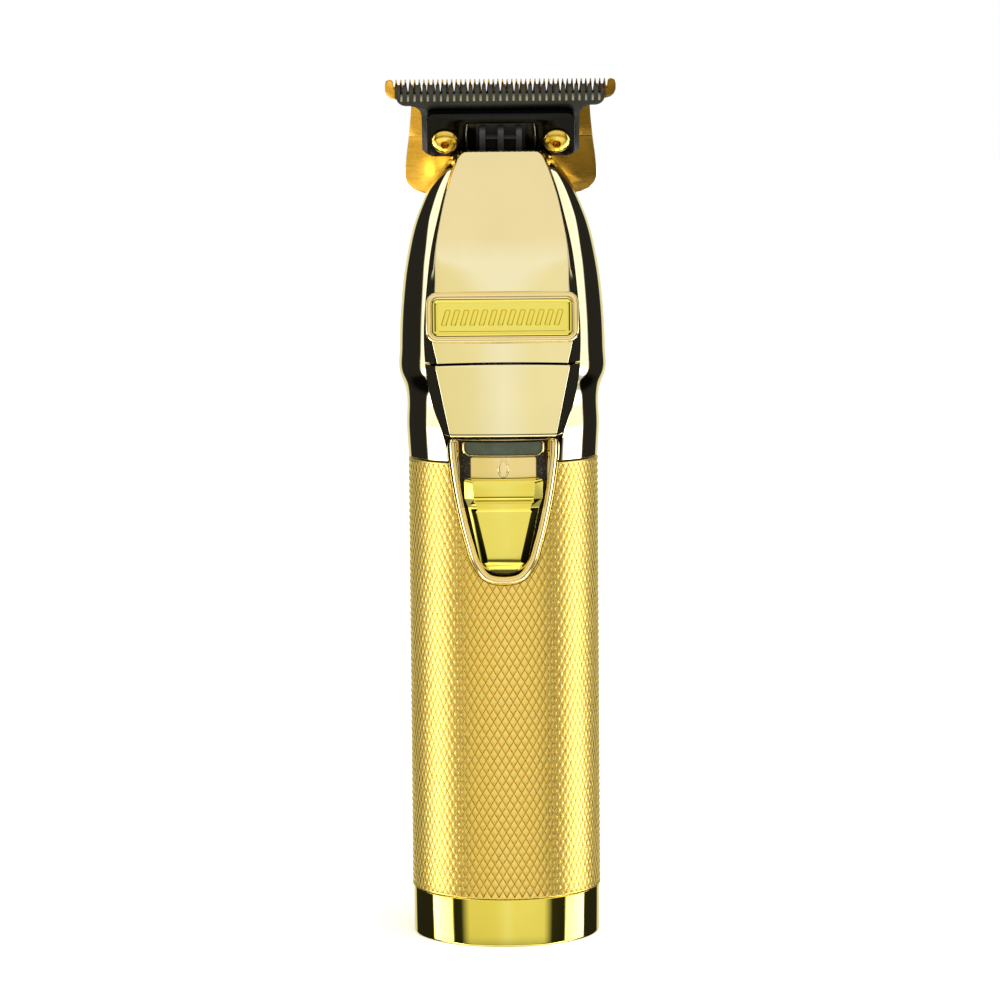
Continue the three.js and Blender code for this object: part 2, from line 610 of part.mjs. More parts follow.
function eccentricCam() {
  const body = rod(CAM.radius, CAM.bottom, CAM.top, INNER_FACETS);
  const bore = rod(MOTOR.shaft + 0.2, CAM.bottom - 1, 132.6, SMALL_FACETS);
  const pinHole = rod(PIN.radius + 0.2, PIN.bottom - 0.2, FAR * 5, SMALL_FACETS).translate(0, STROKE, 0);
  const flat = block(-FAR, FAR, 3.4, FAR, CAM.top - 3, CAM.top + 1);
  return cut(body, bore, pinHole, flat);
}

function motorPlate() {
  const body = ring(3, MOTOR.plate, MOTOR.top + GAP, MOTOR.top + 2.8, INNER_FACETS);
  return cut(body, ...motorScrewHoles(MOTOR.top, MOTOR.top + 4));
}

// ---------- assembly ----------
function addBase(root) {
  addPiece(root, 'end_cap', endCap(), yellowGold);
  addPiece(root, 'cap_o_ring', capRing(), rubber);
  addPiece(root, 'grip_sleeve', gripSleeve(), knurledGold);
  addPiece(root, 'charge_socket', chargeSocket(), blackPlastic);
  addPiece(root, 'charge_pin', rod(JACK.pin, JACK.pinBottom, JACK.top, 16), steel);
  addPiece(root, 'charge_board', rod(13, JACK.top + 0.2, JACK.top + 1.4, INNER_FACETS), greenBoard);
}

function addChassis(root) {
  addPiece(root, 'chassis_front', chassisHalf(true), greyPlastic);
  addPiece(root, 'chassis_rear', chassisHalf(false), greyPlastic);
  let number = 1;
  for (const side of [-1, 1]) {
    for (const z of CHASSIS_SCREW_HEIGHTS) {
      const piece = addPiece(root, `chassis_screw_${number}`, hiddenScrew(1.9, 1.4, 0.9, 10.6), steel);
      piece.position.set(side * CHASSIS.bossX, -CHASSIS.bossReach - 0.15, z);
      piece.rotation.x = Math.PI / 2;
      number += 1;
    }
  }
}

function addElectrics(root) {
  addPiece(root, 'battery_cell', rod(BATTERY.radius, BATTERY.bottom, BATTERY.top, INNER_FACETS), batteryWrap);
  const contact = rod(CONTACT.radius, 0, CONTACT.thickness, SMALL_FACETS);
  const bottomContact = addPiece(root, 'battery_contact_bottom', contact, steel);
  bottomContact.position.z = BATTERY.bottom - CONTACT.thickness - 0.2;
  addPiece(root, 'battery_contact_top', contact, steel).position.z = BATTERY.top + 0.2;
  addPiece(root, 'main_board', mainBoard(), greenBoard);
  addPiece(root, 'switch_body', onBoard(SWITCH_BODY), blackPlastic);
  addPiece(root, 'indicator_led', onBoard(LED), clearLed);
  const leadTop = BOARD.top - 2;
  const leadY = BOARD.back + 0.7;
  for (const [side, name, material] of [[-1, 'motor_lead_red', redWire], [1, 'motor_lead_black', rubber]]) {
    const route = [
      [side * 3, leadY, leadTop - 6], [side * 3.2, leadY + 1.2, leadTop - 2],
      [side * 4, -6, leadTop], [side * 4.5, -3, MOTOR.bottom - 0.5],
    ];
    addPiece(root, name, wire(route, 0.45, 9), material);
  }
  addPiece(root, 'charge_lead', wire(CHARGE_ROUTE, 0.5, 14), redWire);
}

function addSwitch(root) {
  addPiece(root, 'switch_fascia', switchFascia(), rimGold);
  addPiece(root, 'indicator_window', curvedTile(WINDOW), smokedWindow);
  addPiece(root, 'off_mark_panel', curvedTile(OFF_MARK), rimGold);
  addPiece(root, 'switch_slider', switchSlider(), yellowGold);
  addPiece(root, 'slider_carrier', sliderCarrier(), blackPlastic);
}

function addMotor(root) {
  const { bearing, shaft, bottom, top } = MOTOR;
  const shaftHole = shaft + GAP;
  addPiece(root, 'motor_can', motorCan(), steel);
  addPiece(root, 'motor_end_bell', motorEndBell(), greyPlastic);
  addPiece(root, 'stator', ring(7, 10.6, bottom + 6, top - 6, INNER_FACETS), copper);
  addPiece(root, 'rotor_magnet', ring(shaft + 0.2, 6.4, bottom + 7, top - 6.5, INNER_FACETS), magnet);
  addPiece(root, 'motor_shaft', rod(shaft, bottom - 1, 132.4, SMALL_FACETS), steel);
  addPiece(root, 'rear_bearing', ring(shaftHole, bearing, bottom + 1.2, bottom + 3.4, SMALL_FACETS), steel);
  addPiece(root, 'front_bearing', ring(shaftHole, bearing, top - 3.9, top - 1.7, SMALL_FACETS), steel);
  addPiece(root, 'motor_plate', motorPlate(), steel);
  for (const [side, name] of [[-1, 'motor_screw_left'], [1, 'motor_screw_right']]) {
    const piece = addPiece(root, name, hiddenScrew(2, 1.4, 1, 5.4), steel);
    piece.position.set(side * 8, 0, top + 3);
  }
  addPiece(root, 'eccentric_cam', eccentricCam(), steel);
  const pin = addPiece(root, 'drive_pin', rod(PIN.radius, PIN.bottom, PIN.top, SMALL_FACETS), steel);
  pin.position.y = STROKE;
  const roller = ring(ROLLER.inner, ROLLER.outer, ROLLER.bottom, ROLLER.top, SMALL_FACETS);
  addPiece(root, 'pin_roller', roller, brass).position.y = STROKE;
}

function addHead(root) {
  const head = headBody();
  const panelBlock = frontPrism(lowerPanelShape(0), -FAR, PANEL.back);
  const panelPocket = frontPrism(lowerPanelShape(GAP), -FAR, PANEL.back + GAP);
  const frameNotch = frontPrism(vFrameShape(GAP, GAP), -FAR, -5);
  const backHalf = block(-FAR, FAR, HEAD.splitY - GAP / 2, FAR, 0, 200);
  const frontHalf = block(-FAR, FAR, -FAR, HEAD.splitY + GAP / 2, 0, 200);
  addPiece(root, 'front_cover', cut(head, backHalf, panelPocket, frameNotch), polishedGold);
  addPiece(root, 'rear_cover', cut(head, frontHalf), polishedGold);
  const lowerPanel = cut(panelBlock, spaceBeforePanel(0), rod(CHASSIS.outer + GAP, 80, 120));
  addPiece(root, 'lower_panel', lowerPanel, polishedGold);
  const opening = frontPrism(badgeShape(-BADGE.border), -FAR, BADGE.back - 0.8);
  addPiece(root, 'badge_frame', cut(frontPrism(badgeShape(0), BADGE.front, BADGE.back), opening), rimGold);
  const inset = frontPrism(badgeShape(-BADGE.border - 0.1), BADGE.front + 0.5, BADGE.back - 0.9);
  addPiece(root, 'badge_plate', inset, yellowGold);
}

function addBladeSet(root) {
  const set = new THREE.Group();
  set.position.set(0, BLADE.tipY, BLADE.tipZ);
  set.rotation.x = THREE.MathUtils.degToRad(90 + BLADE.tilt);
  root.add(set);
  addPiece(set, 'fixed_blade', fixedBlade(), bladeGold);
  addPiece(set, 'moving_blade', movingBlade(), blackBlade);
  addPiece(set, 'tension_plate', tensionPlate(), blackPlastic);
  for (const [side, label] of [[-1, 'left'], [1, 'right']]) {
    addPiece(set, `tension_spring_${label}`, tensionSpring(side), steel);
    const { head, headHeight, shank, tip } = BLADE_SCREW;
    const seat = TENSION.high + 0.15;
    const body = screw(head, headHeight, shank, seat - tip);
    const bladeScrew = addPiece(set, `blade_screw_${label}`, body, bladeGold);
    bladeScrew.position.set(side * BLADE_SCREW.x, BLADE_SCREW.v, seat);
    const mountScrew = screw(MOUNT_SCREW.head, MOUNT_SCREW.headHeight, MOUNT_SCREW.shank, 4.8);
    const piece = addPiece(set, `mount_screw_${label}`, mountScrew, bladeGold);
    piece.position.set(side * MOUNT_SCREW.x, MOUNT_SCREW.v, -FIXED.thickness - 0.15);
    piece.rotation.x = Math.PI;
  }
  addPiece(root, 'blade_mount', bladeMount(), greyPlastic);
  addPiece(root, 'blade_yoke', bladeYoke(), blackPlastic);
}

const trimmer = new THREE.Group();
addBase(trimmer);
addChassis(trimmer);
addElectrics(trimmer);
addSwitch(trimmer);
addMotor(trimmer);
addHead(trimmer);
addBladeSet(trimmer);

export default trimmer;
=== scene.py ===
"""Looks of the cordless T-blade hair trimmer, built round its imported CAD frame.

Shapes are drawn in millimetres, in the frame's own axes: Z up the body, front towards -Y.
settle() scales each one to metres and makes it ride on its CAD body.
"""
import math

import bmesh
import bpy
import numpy as np
from mathutils import Matrix, Quaternion, Vector


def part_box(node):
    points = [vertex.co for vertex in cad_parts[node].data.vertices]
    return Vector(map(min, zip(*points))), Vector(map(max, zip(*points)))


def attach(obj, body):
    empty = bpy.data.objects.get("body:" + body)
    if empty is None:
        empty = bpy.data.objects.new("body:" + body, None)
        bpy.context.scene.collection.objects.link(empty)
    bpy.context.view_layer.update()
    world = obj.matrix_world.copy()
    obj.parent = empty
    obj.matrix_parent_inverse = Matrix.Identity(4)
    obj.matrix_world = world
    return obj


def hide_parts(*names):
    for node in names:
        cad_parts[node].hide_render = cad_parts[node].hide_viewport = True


MM = 0.001
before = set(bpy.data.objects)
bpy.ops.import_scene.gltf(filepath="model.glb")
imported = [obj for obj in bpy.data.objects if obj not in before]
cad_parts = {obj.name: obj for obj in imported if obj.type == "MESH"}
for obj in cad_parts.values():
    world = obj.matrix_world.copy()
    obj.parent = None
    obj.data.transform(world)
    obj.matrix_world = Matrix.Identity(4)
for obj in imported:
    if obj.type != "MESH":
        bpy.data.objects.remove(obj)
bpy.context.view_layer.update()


def box_mm(node):
    """Lowest and highest corner of a CAD node, in millimetres."""
    low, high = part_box(node)
    return low / MM, high / MM


# ---------- sizes, in millimetres ----------
CAP_HIGH = box_mm("end_cap")[1]
FRAME_HIGH = box_mm("switch_fascia")[1]
SLEEVE_LOW, SLEEVE_HIGH = box_mm("grip_sleeve")
HEAD_LOW, HEAD_HIGH = box_mm("front_cover")
BADGE_LOW, BADGE_HIGH = box_mm("badge_frame")

JACK_HOLE = 3.3
SPIGOT = {"radius": 16.05, "inner": 14.35, "groove": (10.2, 11.4), "depth": 0.9}
KNURL = {"around": 76, "rows": 33, "groove": 0.075, "depth": 0.19, "crown": 0.12, "collar": 0.35}
SLEEVE_INNER = 16.4

# Radius of the round head, and front of its crowned panel, at some heights.
HEAD_RADIUS = [
    (90.7, 17.8), (96, 18.1), (104, 18.4), (106.3, 19.3), (111, 19.3),
    (119, 18.95), (127.5, 17.9), (136, 15.7), (144.4, 11.2), (147.8, 8.2),
]
PANEL_FRONT = [
    (88, -18.6), (98, -19.3), (108, -19.6), (117, -19.5), (124, -19.0),
    (131, -17.5), (136, -14.6), (142, -10.5), (148, -6.45), (155, -1.75),
]
PANEL_CROWN = 55
# Half width of the raised front at its edge, and where its wall meets the round body.
ISLAND_EDGE = [
    (104, 11.8), (109, 11.9), (113, 12.9), (118, 12.9), (122.5, 12.3), (128, 12.25), (131, 12.0),
    (135, 11.3), (141.5, 9.75), (146, 8.1), (147.8, 7.4), (150, 6.6),
]
WALL_FOOT = [
    (93, 10.4), (95.5, 11.0), (101, 13.0), (106, 14.0), (109, 14.3), (115, 14.4),
    (122, 13.9), (130.7, 12.8), (136, 11.6), (141.5, 10.15), (146, 8.5), (147.8, 7.8), (150, 7),
]
SEAM = {"z": 109.0, "rise": 0.3, "half": 12.6, "gap": 0.4, "fade": 9}
LOWER_EDGE = {"low": 9.7, "high": 12.45, "start": 95.5, "lift_start": 99}
HEAD = {"wall": 1.6, "split": 2.0, "part_line": 0.09, "lip_corner": 1.5}
FILLET = {"edge": 0.28, "foot": 0.8}

# Right-hand outline of the switch's V frame, as (half width, height), downwards.
V_OUTLINE = [
    (10.5, 95.2), (10.4, 92.5), (9.95, 88.5), (8.8, 82),
    (7.2, 75.5), (5.8, 71.4), (3.7, 68.8), (0, 68),
]
V_TOP = 95.2
RECESS_RADIUS = 17.0
BADGE_CORNER = 2.3
BARS = {"count": 13, "pitch": 1.72, "half_width": 0.56, "half_height": 1.5, "lean": 0.45}
OFF_RING = {"half_width": 1.1, "half_height": 1.7}

BLADE_TILT = 35
BLADE_TIP = (0, -5.4, 160.8)
FIXED = {"thickness": 1.8, "teeth": 46, "pitch": 0.858, "depth": 3.4, "bottom": -26.3, "line": -12.8}
MOVING = {
    "low": 0.3, "high": 1.5, "slots": 31, "pitch": 1.225, "tip": -0.7, "root": -3.8,
    "half": 19.3, "bar": -4.7, "stem": 14.7, "bottom": -15.8, "slot": 0.19, "slot_tip": 0.29,
}
TENSION = {
    "low": 1.8, "high": 3.2, "half": 13.9, "top": -5.5, "bottom": -15.2, "notch": 6.75, "notch_top": -7.7,
}
BLADE_SCREW = {"x": 10.4, "v": -11.4, "head": 2.55, "height": 1.35, "shank": 1.3, "tip": -1.4}
MOUNT_SCREW = {"x": 8, "v": -22.5, "head": 2.3, "height": 1.2, "shank": 1.1}
SCREW_CLEARANCE = 0.3
STROKE = 0.9
YOKE = {"plate": 4.6, "top": -8.1, "bottom": -20, "bar": -10.9}
RIBS = {"x": (-3.4, 0, 3.4), "half": 0.55, "top": -8.6, "bottom": -17.5, "rise": 0.8}
SPRING = {"x": 6.35, "radius": 0.14, "hook": 0.4}


# ---------- curves and outlines ----------
def hermite(start, end, slope_start, slope_end, width, t):
    """A cubic from start to end, with a slope at each, at a share t of its width."""
    return (
        start * (1 + 2 * t) * (1 - t) ** 2 + slope_start * width * t * (1 - t) ** 2
        + end * t * t * (3 - 2 * t) - slope_end * width * t * t * (1 - t)
    )


def smooth_function(points, soften=0.7, step=0.05):
    """A function of height through (height, value) points, rounded over a length of soften."""
    at, value = np.array(sorted(points), float).T
    slope = np.gradient(value, at)
    reach = 4 * soften + step
    fine = np.arange(at[0] - reach, at[-1] + reach, step)
    low, high = fine < at[0], fine > at[-1]
    cell = np.clip(np.searchsorted(at, fine) - 1, 0, len(at) - 2)
    width = at[cell + 1] - at[cell]
    t = np.clip((fine - at[cell]) / width, 0, 1)
    curve = hermite(value[cell], value[cell + 1], slope[cell], slope[cell + 1], width, t)
    curve[low] = value[0] + slope[0] * (fine[low] - at[0])
    curve[high] = value[-1] + slope[-1] * (fine[high] - at[-1])
    offsets = np.arange(-3 * soften, 3 * soften + step, step)
    weights = np.exp(-0.5 * (offsets / soften) ** 2)
    curve = np.convolve(curve, weights / weights.sum(), "same")
    return lambda height: float(np.interp(height, fine, curve))


def turn(vector, angle):
    c, s = math.cos(angle), math.sin(angle)
    return np.array([c * vector[0] - s * vector[1], s * vector[0] + c * vector[1]])


def unit(vector):
    vector = np.asarray(vector, float)
    return vector / np.linalg.norm(vector)


def round_corner(corner, into, out, radius, steps):
    """Points of an arc that rounds a corner, from the direction into to the direction out."""
    angle = math.atan2(into[0] * out[1] - into[1] * out[0], float(np.dot(into, out)))
    start = np.asarray(corner, float) - into * radius * math.tan(abs(angle) / 2)
    centre = start + turn(into, math.copysign(math.pi / 2, angle)) * radius
    return [centre + turn(start - centre, angle * i / (steps - 1)) for i in range(steps)]


def rounded_polygon(corners, radii, steps=6):
    """A closed outline with each corner rounded by its radius."""
    corners = [np.asarray(c, float) for c in corners]
    outline = []
    for i, corner in enumerate(corners):
        into = unit(corner - corners[i - 1])
        out = unit(corners[(i + 1) % len(corners)] - corner)
        outline += round_corner(corner, into, out, radii[i], steps)
    return outline


def rounded_box(x0, y0, x1, y1, radius, steps=6):
    return rounded_polygon([(x0, y0), (x1, y0), (x1, y1), (x0, y1)], [radius] * 4, steps)


def inset_loop(loop, distance):
    """A closed loop moved inwards along its own normals; the loop runs anticlockwise."""
    loop = np.asarray(loop, float)
    along = np.roll(loop, -1, 0) - np.roll(loop, 1, 0)
    along /= np.linalg.norm(along, axis=1)[:, None]
    return loop + distance * np.column_stack([-along[:, 1], along[:, 0]])


def resample(points, count):
    """The same line with its points evenly spaced."""
    points = np.asarray(points, float)
    lengths = np.r_[0, np.cumsum(np.linalg.norm(np.diff(points, axis=0), axis=1))]
    at = np.linspace(0, lengths[-1], count)
    return np.column_stack([np.interp(at, lengths, column) for column in points.T])


def spline(points, count=80):
    """A smooth line through points."""
    points = np.asarray(points, float)
    lengths = np.r_[0, np.cumsum(np.linalg.norm(np.diff(points, axis=0), axis=1))]
    slopes = np.gradient(points, lengths, axis=0)
    found = []
    for at in np.linspace(0, lengths[-1], count):
        i = min(int(np.searchsorted(lengths, at, "right")) - 1, len(points) - 2)
        width = lengths[i + 1] - lengths[i]
        t = (at - lengths[i]) / width
        found.append(hermite(points[i], points[i + 1], slopes[i], slopes[i + 1], width, t))
    return np.array(found)


# ---------- solids ----------
def new_piece(name, verts, faces):
    mesh = bpy.data.meshes.new(name)
    mesh.from_pydata([tuple(map(float, v)) for v in verts], [], faces)
    made = bmesh.new()
    made.from_mesh(mesh)
    bmesh.ops.recalc_face_normals(made, faces=made.faces)
    made.to_mesh(mesh)
    made.free()
    piece = bpy.data.objects.new(name, mesh)
    bpy.context.scene.collection.objects.link(piece)
    return piece


def lofts(name, stacks, closed=False):
    """One piece of separate solids, each through a stack of loops: capped, or closed on itself."""
    verts, faces = [], []
    for loops in stacks:
        start, count, rows = len(verts), len(loops[0]), len(loops)
        for row in range(rows if closed else rows - 1):
            a, b = start + row * count, start + ((row + 1) % rows) * count
            faces += [(a + i, a + (i + 1) % count, b + (i + 1) % count, b + i) for i in range(count)]
        if not closed:
            faces.append(tuple(start + i for i in reversed(range(count))))
            faces.append(tuple(range(start + (rows - 1) * count, start + rows * count)))
        verts += [point for loop in loops for point in loop]
    return new_piece(name, verts, faces)


def loft(name, loops, closed=False):
    return lofts(name, [loops], closed)


def circle(radius, z, segments):
    angles = np.linspace(0, 2 * np.pi, segments, endpoint=False)
    x, y = radius * np.sin(angles), -radius * np.cos(angles)
    return np.column_stack([x, y, np.full(segments, z)])


def turned(name, profile, segments=160, closed=True):
    """A turned solid from (radius, height) points; one that reaches the axis isn't closed."""
    return loft(name, [circle(r, z, segments) for r, z in profile], closed)


def rounded_profile(corners, radii, steps=5):
    return [tuple(p) for p in rounded_polygon(corners, radii, steps)]


def facing(outline, y):
    """An outline seen from the front, in X and Z, at a depth."""
    return np.array([(x, y, z) for x, z in outline])


def front_prism(name, outline, front, back):
    """An outline seen from the front, carried from Y = front to Y = back."""
    return loft(name, [facing(outline, front), facing(outline, back)])


def plate(name, outline, low, high):
    """An outline in X and Y between two heights."""
    return loft(name, [np.array([(x, y, z) for x, y in outline]) for z in (low, high)])


def slab(name, low, high):
    (x0, y0, z0), (x1, y1, z1) = low, high
    return plate(name, [(x0, y0), (x1, y0), (x1, y1), (x0, y1)], z0, z1)


def wrapped(outline, radius):
    """An outline in X and Z laid on the front of a cylinder."""
    return np.array([(x, -math.sqrt(radius * radius - x * x), z) for x, z in outline])


def curved_plate(name, outline, inner, outer):
    """A plate with a given front outline, curved with the body."""
    heights = [z for _, z in outline]
    low, high = min(heights) - 1, max(heights) + 1
    corners = [(inner, low), (outer, low), (outer, high), (inner, high)]
    piece = turned(name, corners, 360)
    return common(piece, front_prism("outline", outline, -30, -4))


def update(piece):
    """Bakes a piece's modifiers into its mesh."""
    bpy.context.view_layer.update()
    evaluated = piece.evaluated_get(bpy.context.evaluated_depsgraph_get())
    mesh = bpy.data.meshes.new_from_object(evaluated)
    piece.modifiers.clear()
    old, piece.data = piece.data, mesh
    bpy.data.meshes.remove(old)
    return piece


def combine(piece, operation, tools):
    for tool in tools:
        modifier = piece.modifiers.new("combine", "BOOLEAN")
        modifier.operation = operation
        modifier.solver = "MANIFOLD"
        modifier.object = tool
        update(piece)
        mesh = tool.data
        bpy.data.objects.remove(tool)
        bpy.data.meshes.remove(mesh)
    return piece


def cut(piece, *tools):
    return combine(piece, "DIFFERENCE", tools)


def join(piece, *tools):
    return combine(piece, "UNION", tools)


def common(piece, *tools):
    return combine(piece, "INTERSECT", tools)


def copy_of(piece, name):
    made = bpy.data.objects.new(name, piece.data.copy())
    bpy.context.scene.collection.objects.link(made)
    return made


def bevelled(piece, width, segments=3, angle=32):
    modifier = piece.modifiers.new("bevel", "BEVEL")
    modifier.width = width
    modifier.segments = segments
    modifier.limit_method = "ANGLE"
    modifier.angle_limit = math.radians(angle)
    modifier.miter_outer = "MITER_ARC"
    return update(piece)


def move(piece, matrix):
    piece.data.transform(matrix)
    return piece


def settle(piece, body, material, stands_for=(), crease=35):
    """Scales a finished piece to metres, shades it and makes it ride on a CAD body."""
    piece.data.transform(Matrix.Scale(MM, 4))
    piece.data.shade_smooth()
    piece.data.set_sharp_from_angle(angle=math.radians(crease))
    piece.data.materials.clear()
    piece.data.materials.append(material)
    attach(piece, body)
    if stands_for:
        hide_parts(*stands_for)
    return piece


# ---------- materials ----------
def mix_node(tree, share, first, second, blend="MIX"):
    """A colour that goes from first to second, or is blended with it, as share goes from 0 to 1."""
    mix = tree.nodes.new("ShaderNodeMix")
    mix.data_type = "RGBA"
    mix.blend_type = blend
    first_in, second_in = [socket for socket in mix.inputs if socket.type == "RGBA"]
    for socket, value in ((first_in, first), (second_in, second)):
        if isinstance(value, tuple):
            socket.default_value = (*value, 1)
        else:
            tree.links.new(value, socket)
    tree.links.new(share, mix.inputs["Factor"])
    return next(socket for socket in mix.outputs if socket.type == "RGBA")


def math_node(tree, operation, first, second=None, third=None):
    node = tree.nodes.new("ShaderNodeMath")
    node.operation = operation
    for socket, value in zip(node.inputs, (first, second, third)):
        if value is None:
            continue
        if isinstance(value, (int, float)):
            socket.default_value = value
        else:
            tree.links.new(value, socket)
    return node.outputs["Value"]


class Surface:
    """A Principled material and the nodes that give it its detail."""

    def __init__(self, name, **settings):
        self.material = bpy.data.materials.new(name)
        self.material.use_nodes = True
        self.tree = self.material.node_tree
        self.shader = self.tree.nodes["Principled BSDF"]
        self.place = self.tree.nodes.new("ShaderNodeTexCoord").outputs["Object"]
        for key, value in settings.items():
            self.shader.inputs[key.replace("_", " ").title()].default_value = value

    def link(self, source, target):
        self.tree.links.new(source, target)

    def stretched(self, per_mm):
        """Object coordinates with a number of pattern lengths per millimetre on each axis."""
        mapping = self.tree.nodes.new("ShaderNodeMapping")
        mapping.inputs["Scale"].default_value = [n / MM for n in per_mm]
        self.link(self.place, mapping.inputs["Vector"])
        return mapping.outputs["Vector"]

    def noise(self, per_mm, detail=3.0, roughness=0.55):
        texture = self.tree.nodes.new("ShaderNodeTexNoise")
        texture.inputs["Scale"].default_value = 1
        texture.inputs["Detail"].default_value = detail
        texture.inputs["Roughness"].default_value = roughness
        self.link(self.stretched(per_mm), texture.inputs["Vector"])
        return texture.outputs["Fac"]

    def ramp(self, source, stops):
        ramp = self.tree.nodes.new("ShaderNodeValToRGB")
        elements = ramp.color_ramp.elements
        while len(elements) < len(stops):
            elements.new(0.5)
        for element, (at, color) in zip(elements, stops):
            element.position = at
            element.color = (*color, 1)
        self.link(source, ramp.inputs["Fac"])
        return ramp.outputs["Color"]

    def colors(self, source, stops):
        self.link(self.ramp(source, stops), self.shader.inputs["Base Color"])

    def mixed(self, share, first, second):
        return mix_node(self.tree, share, first, second)

    def times(self, first, second):
        return math_node(self.tree, "MULTIPLY", first, second)

    def spread(self, source, start, end, low=0.0, high=1.0):
        """Maps a value between start and end to one between low and high."""
        node = self.tree.nodes.new("ShaderNodeMapRange")
        node.interpolation_type = "SMOOTHSTEP"
        for key, value in (("From Min", start), ("From Max", end), ("To Min", low), ("To Max", high)):
            node.inputs[key].default_value = value
        self.link(source, node.inputs["Value"])
        return node.outputs["Result"]

    def reach(self, direction, start=(0, 0, 0)):
        """Distance from a point along a direction, in millimetres."""
        dot = self.tree.nodes.new("ShaderNodeVectorMath")
        dot.operation = "DOT_PRODUCT"
        dot.inputs[1].default_value = direction
        self.link(self.place, dot.inputs[0])
        offset = -float(np.dot(direction, start))
        return math_node(self.tree, "MULTIPLY_ADD", dot.outputs["Value"], 1 / MM, offset)

    def roughness(self, source, low, high):
        self.link(self.spread(source, 0.3, 0.7, low, high), self.shader.inputs["Roughness"])

    def bump(self, source, height_mm, strength=1.0):
        bump = self.tree.nodes.new("ShaderNodeBump")
        bump.inputs["Distance"].default_value = height_mm * MM
        bump.inputs["Strength"].default_value = strength
        self.link(source, bump.inputs["Height"])
        self.link(bump.outputs["Normal"], self.shader.inputs["Normal"])


def srgb(red, green, blue):
    """Linear colour from 0 to 255 display values."""
    return tuple(((c / 255 + 0.055) / 1.055) ** 2.4 if c > 10 else c / 255 / 12.92
                 for c in (red, green, blue))


def shade(color, factor):
    return tuple(min(c * factor, 1) for c in color)


def polished(name, color, rough=(0.02, 0.05)):
    """Mirror-polished plating: a faint cloud in its colour and haze, and buffing marks."""
    made = Surface(name, metallic=1.0)
    made.colors(made.noise((0.08, 0.08, 0.05)), [(0.3, shade(color, 0.97)), (0.7, shade(color, 1.02))])
    made.roughness(made.noise((0.5, 0.5, 0.15)), *rough)
    made.bump(made.noise((6, 6, 1.5), 2), 0.0006)
    return made.material


def knurled(name, pads, grooves):
    """Plated knurling: paler on the pads, with painted shade making the grooves darker and browner."""
    made = Surface(name, metallic=0.87)
    geometry = made.tree.nodes.new("ShaderNodeNewGeometry")
    # Painted shade: low pointiness, in the grooves, is painted darker and browner.
    made.colors(geometry.outputs["Pointiness"], [(0.43, grooves), (0.49, pads)])
    made.roughness(made.noise((2, 2, 2)), 0.26, 0.38)
    made.bump(made.noise((9, 9, 9)), 0.004)
    return made.material


def brushed(name, color, lines, rough, across=0.12, height=0.004):
    """Ground metal; lines gives the pattern lengths per millimetre on each axis."""
    made = Surface(name, metallic=1.0)
    grain = made.noise(lines, 4, 0.65)
    made.colors(grain, [(0.3, shade(color, 1 - across)), (0.7, shade(color, 1 + across))])
    made.roughness(grain, *rough)
    made.bump(grain, height)
    return made.material


def moulded(name, color, grain_mm=0.15, rough=(0.4, 0.6), height=0.01):
    """Moulded plastic with a fine spark-eroded grain."""
    made = Surface(name)
    grain = made.noise([1 / grain_mm] * 3, 3)
    made.colors(grain, [(0.3, shade(color, 0.85)), (0.7, shade(color, 1.15))])
    made.roughness(grain, *rough)
    made.bump(grain, height)
    return made.material


def speckled(name, color, glint):
    """Coarse black grain whose tops are painted pale as glints: painted highlights."""
    made = Surface(name, roughness=0.4)
    grain = made.noise((3.2, 3.2, 3.2), 4, 0.7)
    made.colors(grain, [(0.56, color), (0.68, glint)])
    made.bump(grain, 0.12)
    return made.material


BLADE_UP = (0, -math.sin(math.radians(BLADE_TILT)), math.cos(math.radians(BLADE_TILT)))
BLADE_OUT = (0, -math.cos(math.radians(BLADE_TILT)), -math.sin(math.radians(BLADE_TILT)))


def plated_blade(name, color, tooth_shade):
    """Gold plated blade, ground across, with painted shade: its right wing's front painted darker, and its
    teeth's front painted dark towards their roots under the other blade.
    """
    made = Surface(name, metallic=1.0)
    grain = made.noise((0.4, 14, 14), 4, 0.65)
    ground = made.ramp(grain, [(0.3, shade(color, 0.86)), (0.7, shade(color, 1.16))])
    up = made.reach(BLADE_UP, BLADE_TIP)
    out = made.reach(BLADE_OUT, BLADE_TIP)
    across = made.reach((1, 0, 0))
    row = made.spread(math_node(made.tree, "ABSOLUTE", across), 19.8, 19.5)
    # Painted shade: the front of the teeth, inside the row, is painted dark towards their roots, as shade
    # under the moving blade.
    teeth = made.times(made.spread(up, -4.6, -4.0), made.spread(up, -0.35, -0.8))
    painted_shade = made.times(teeth, made.spread(out, -1.0, -0.2))
    # Painted shade: the front face is painted darker towards the right wing, for the darker reflection that
    # wing catches.
    front = made.times(made.spread(across, 2, 15), made.spread(out, -0.5, -0.1))
    shaded_right = made.mixed(front, ground, shade(color, 0.26))
    made.link(made.mixed(made.times(painted_shade, row), shaded_right, tooth_shade), made.shader.inputs["Base Color"])
    made.roughness(grain, 0.22, 0.36)
    made.bump(grain, 0.004)
    return made.material


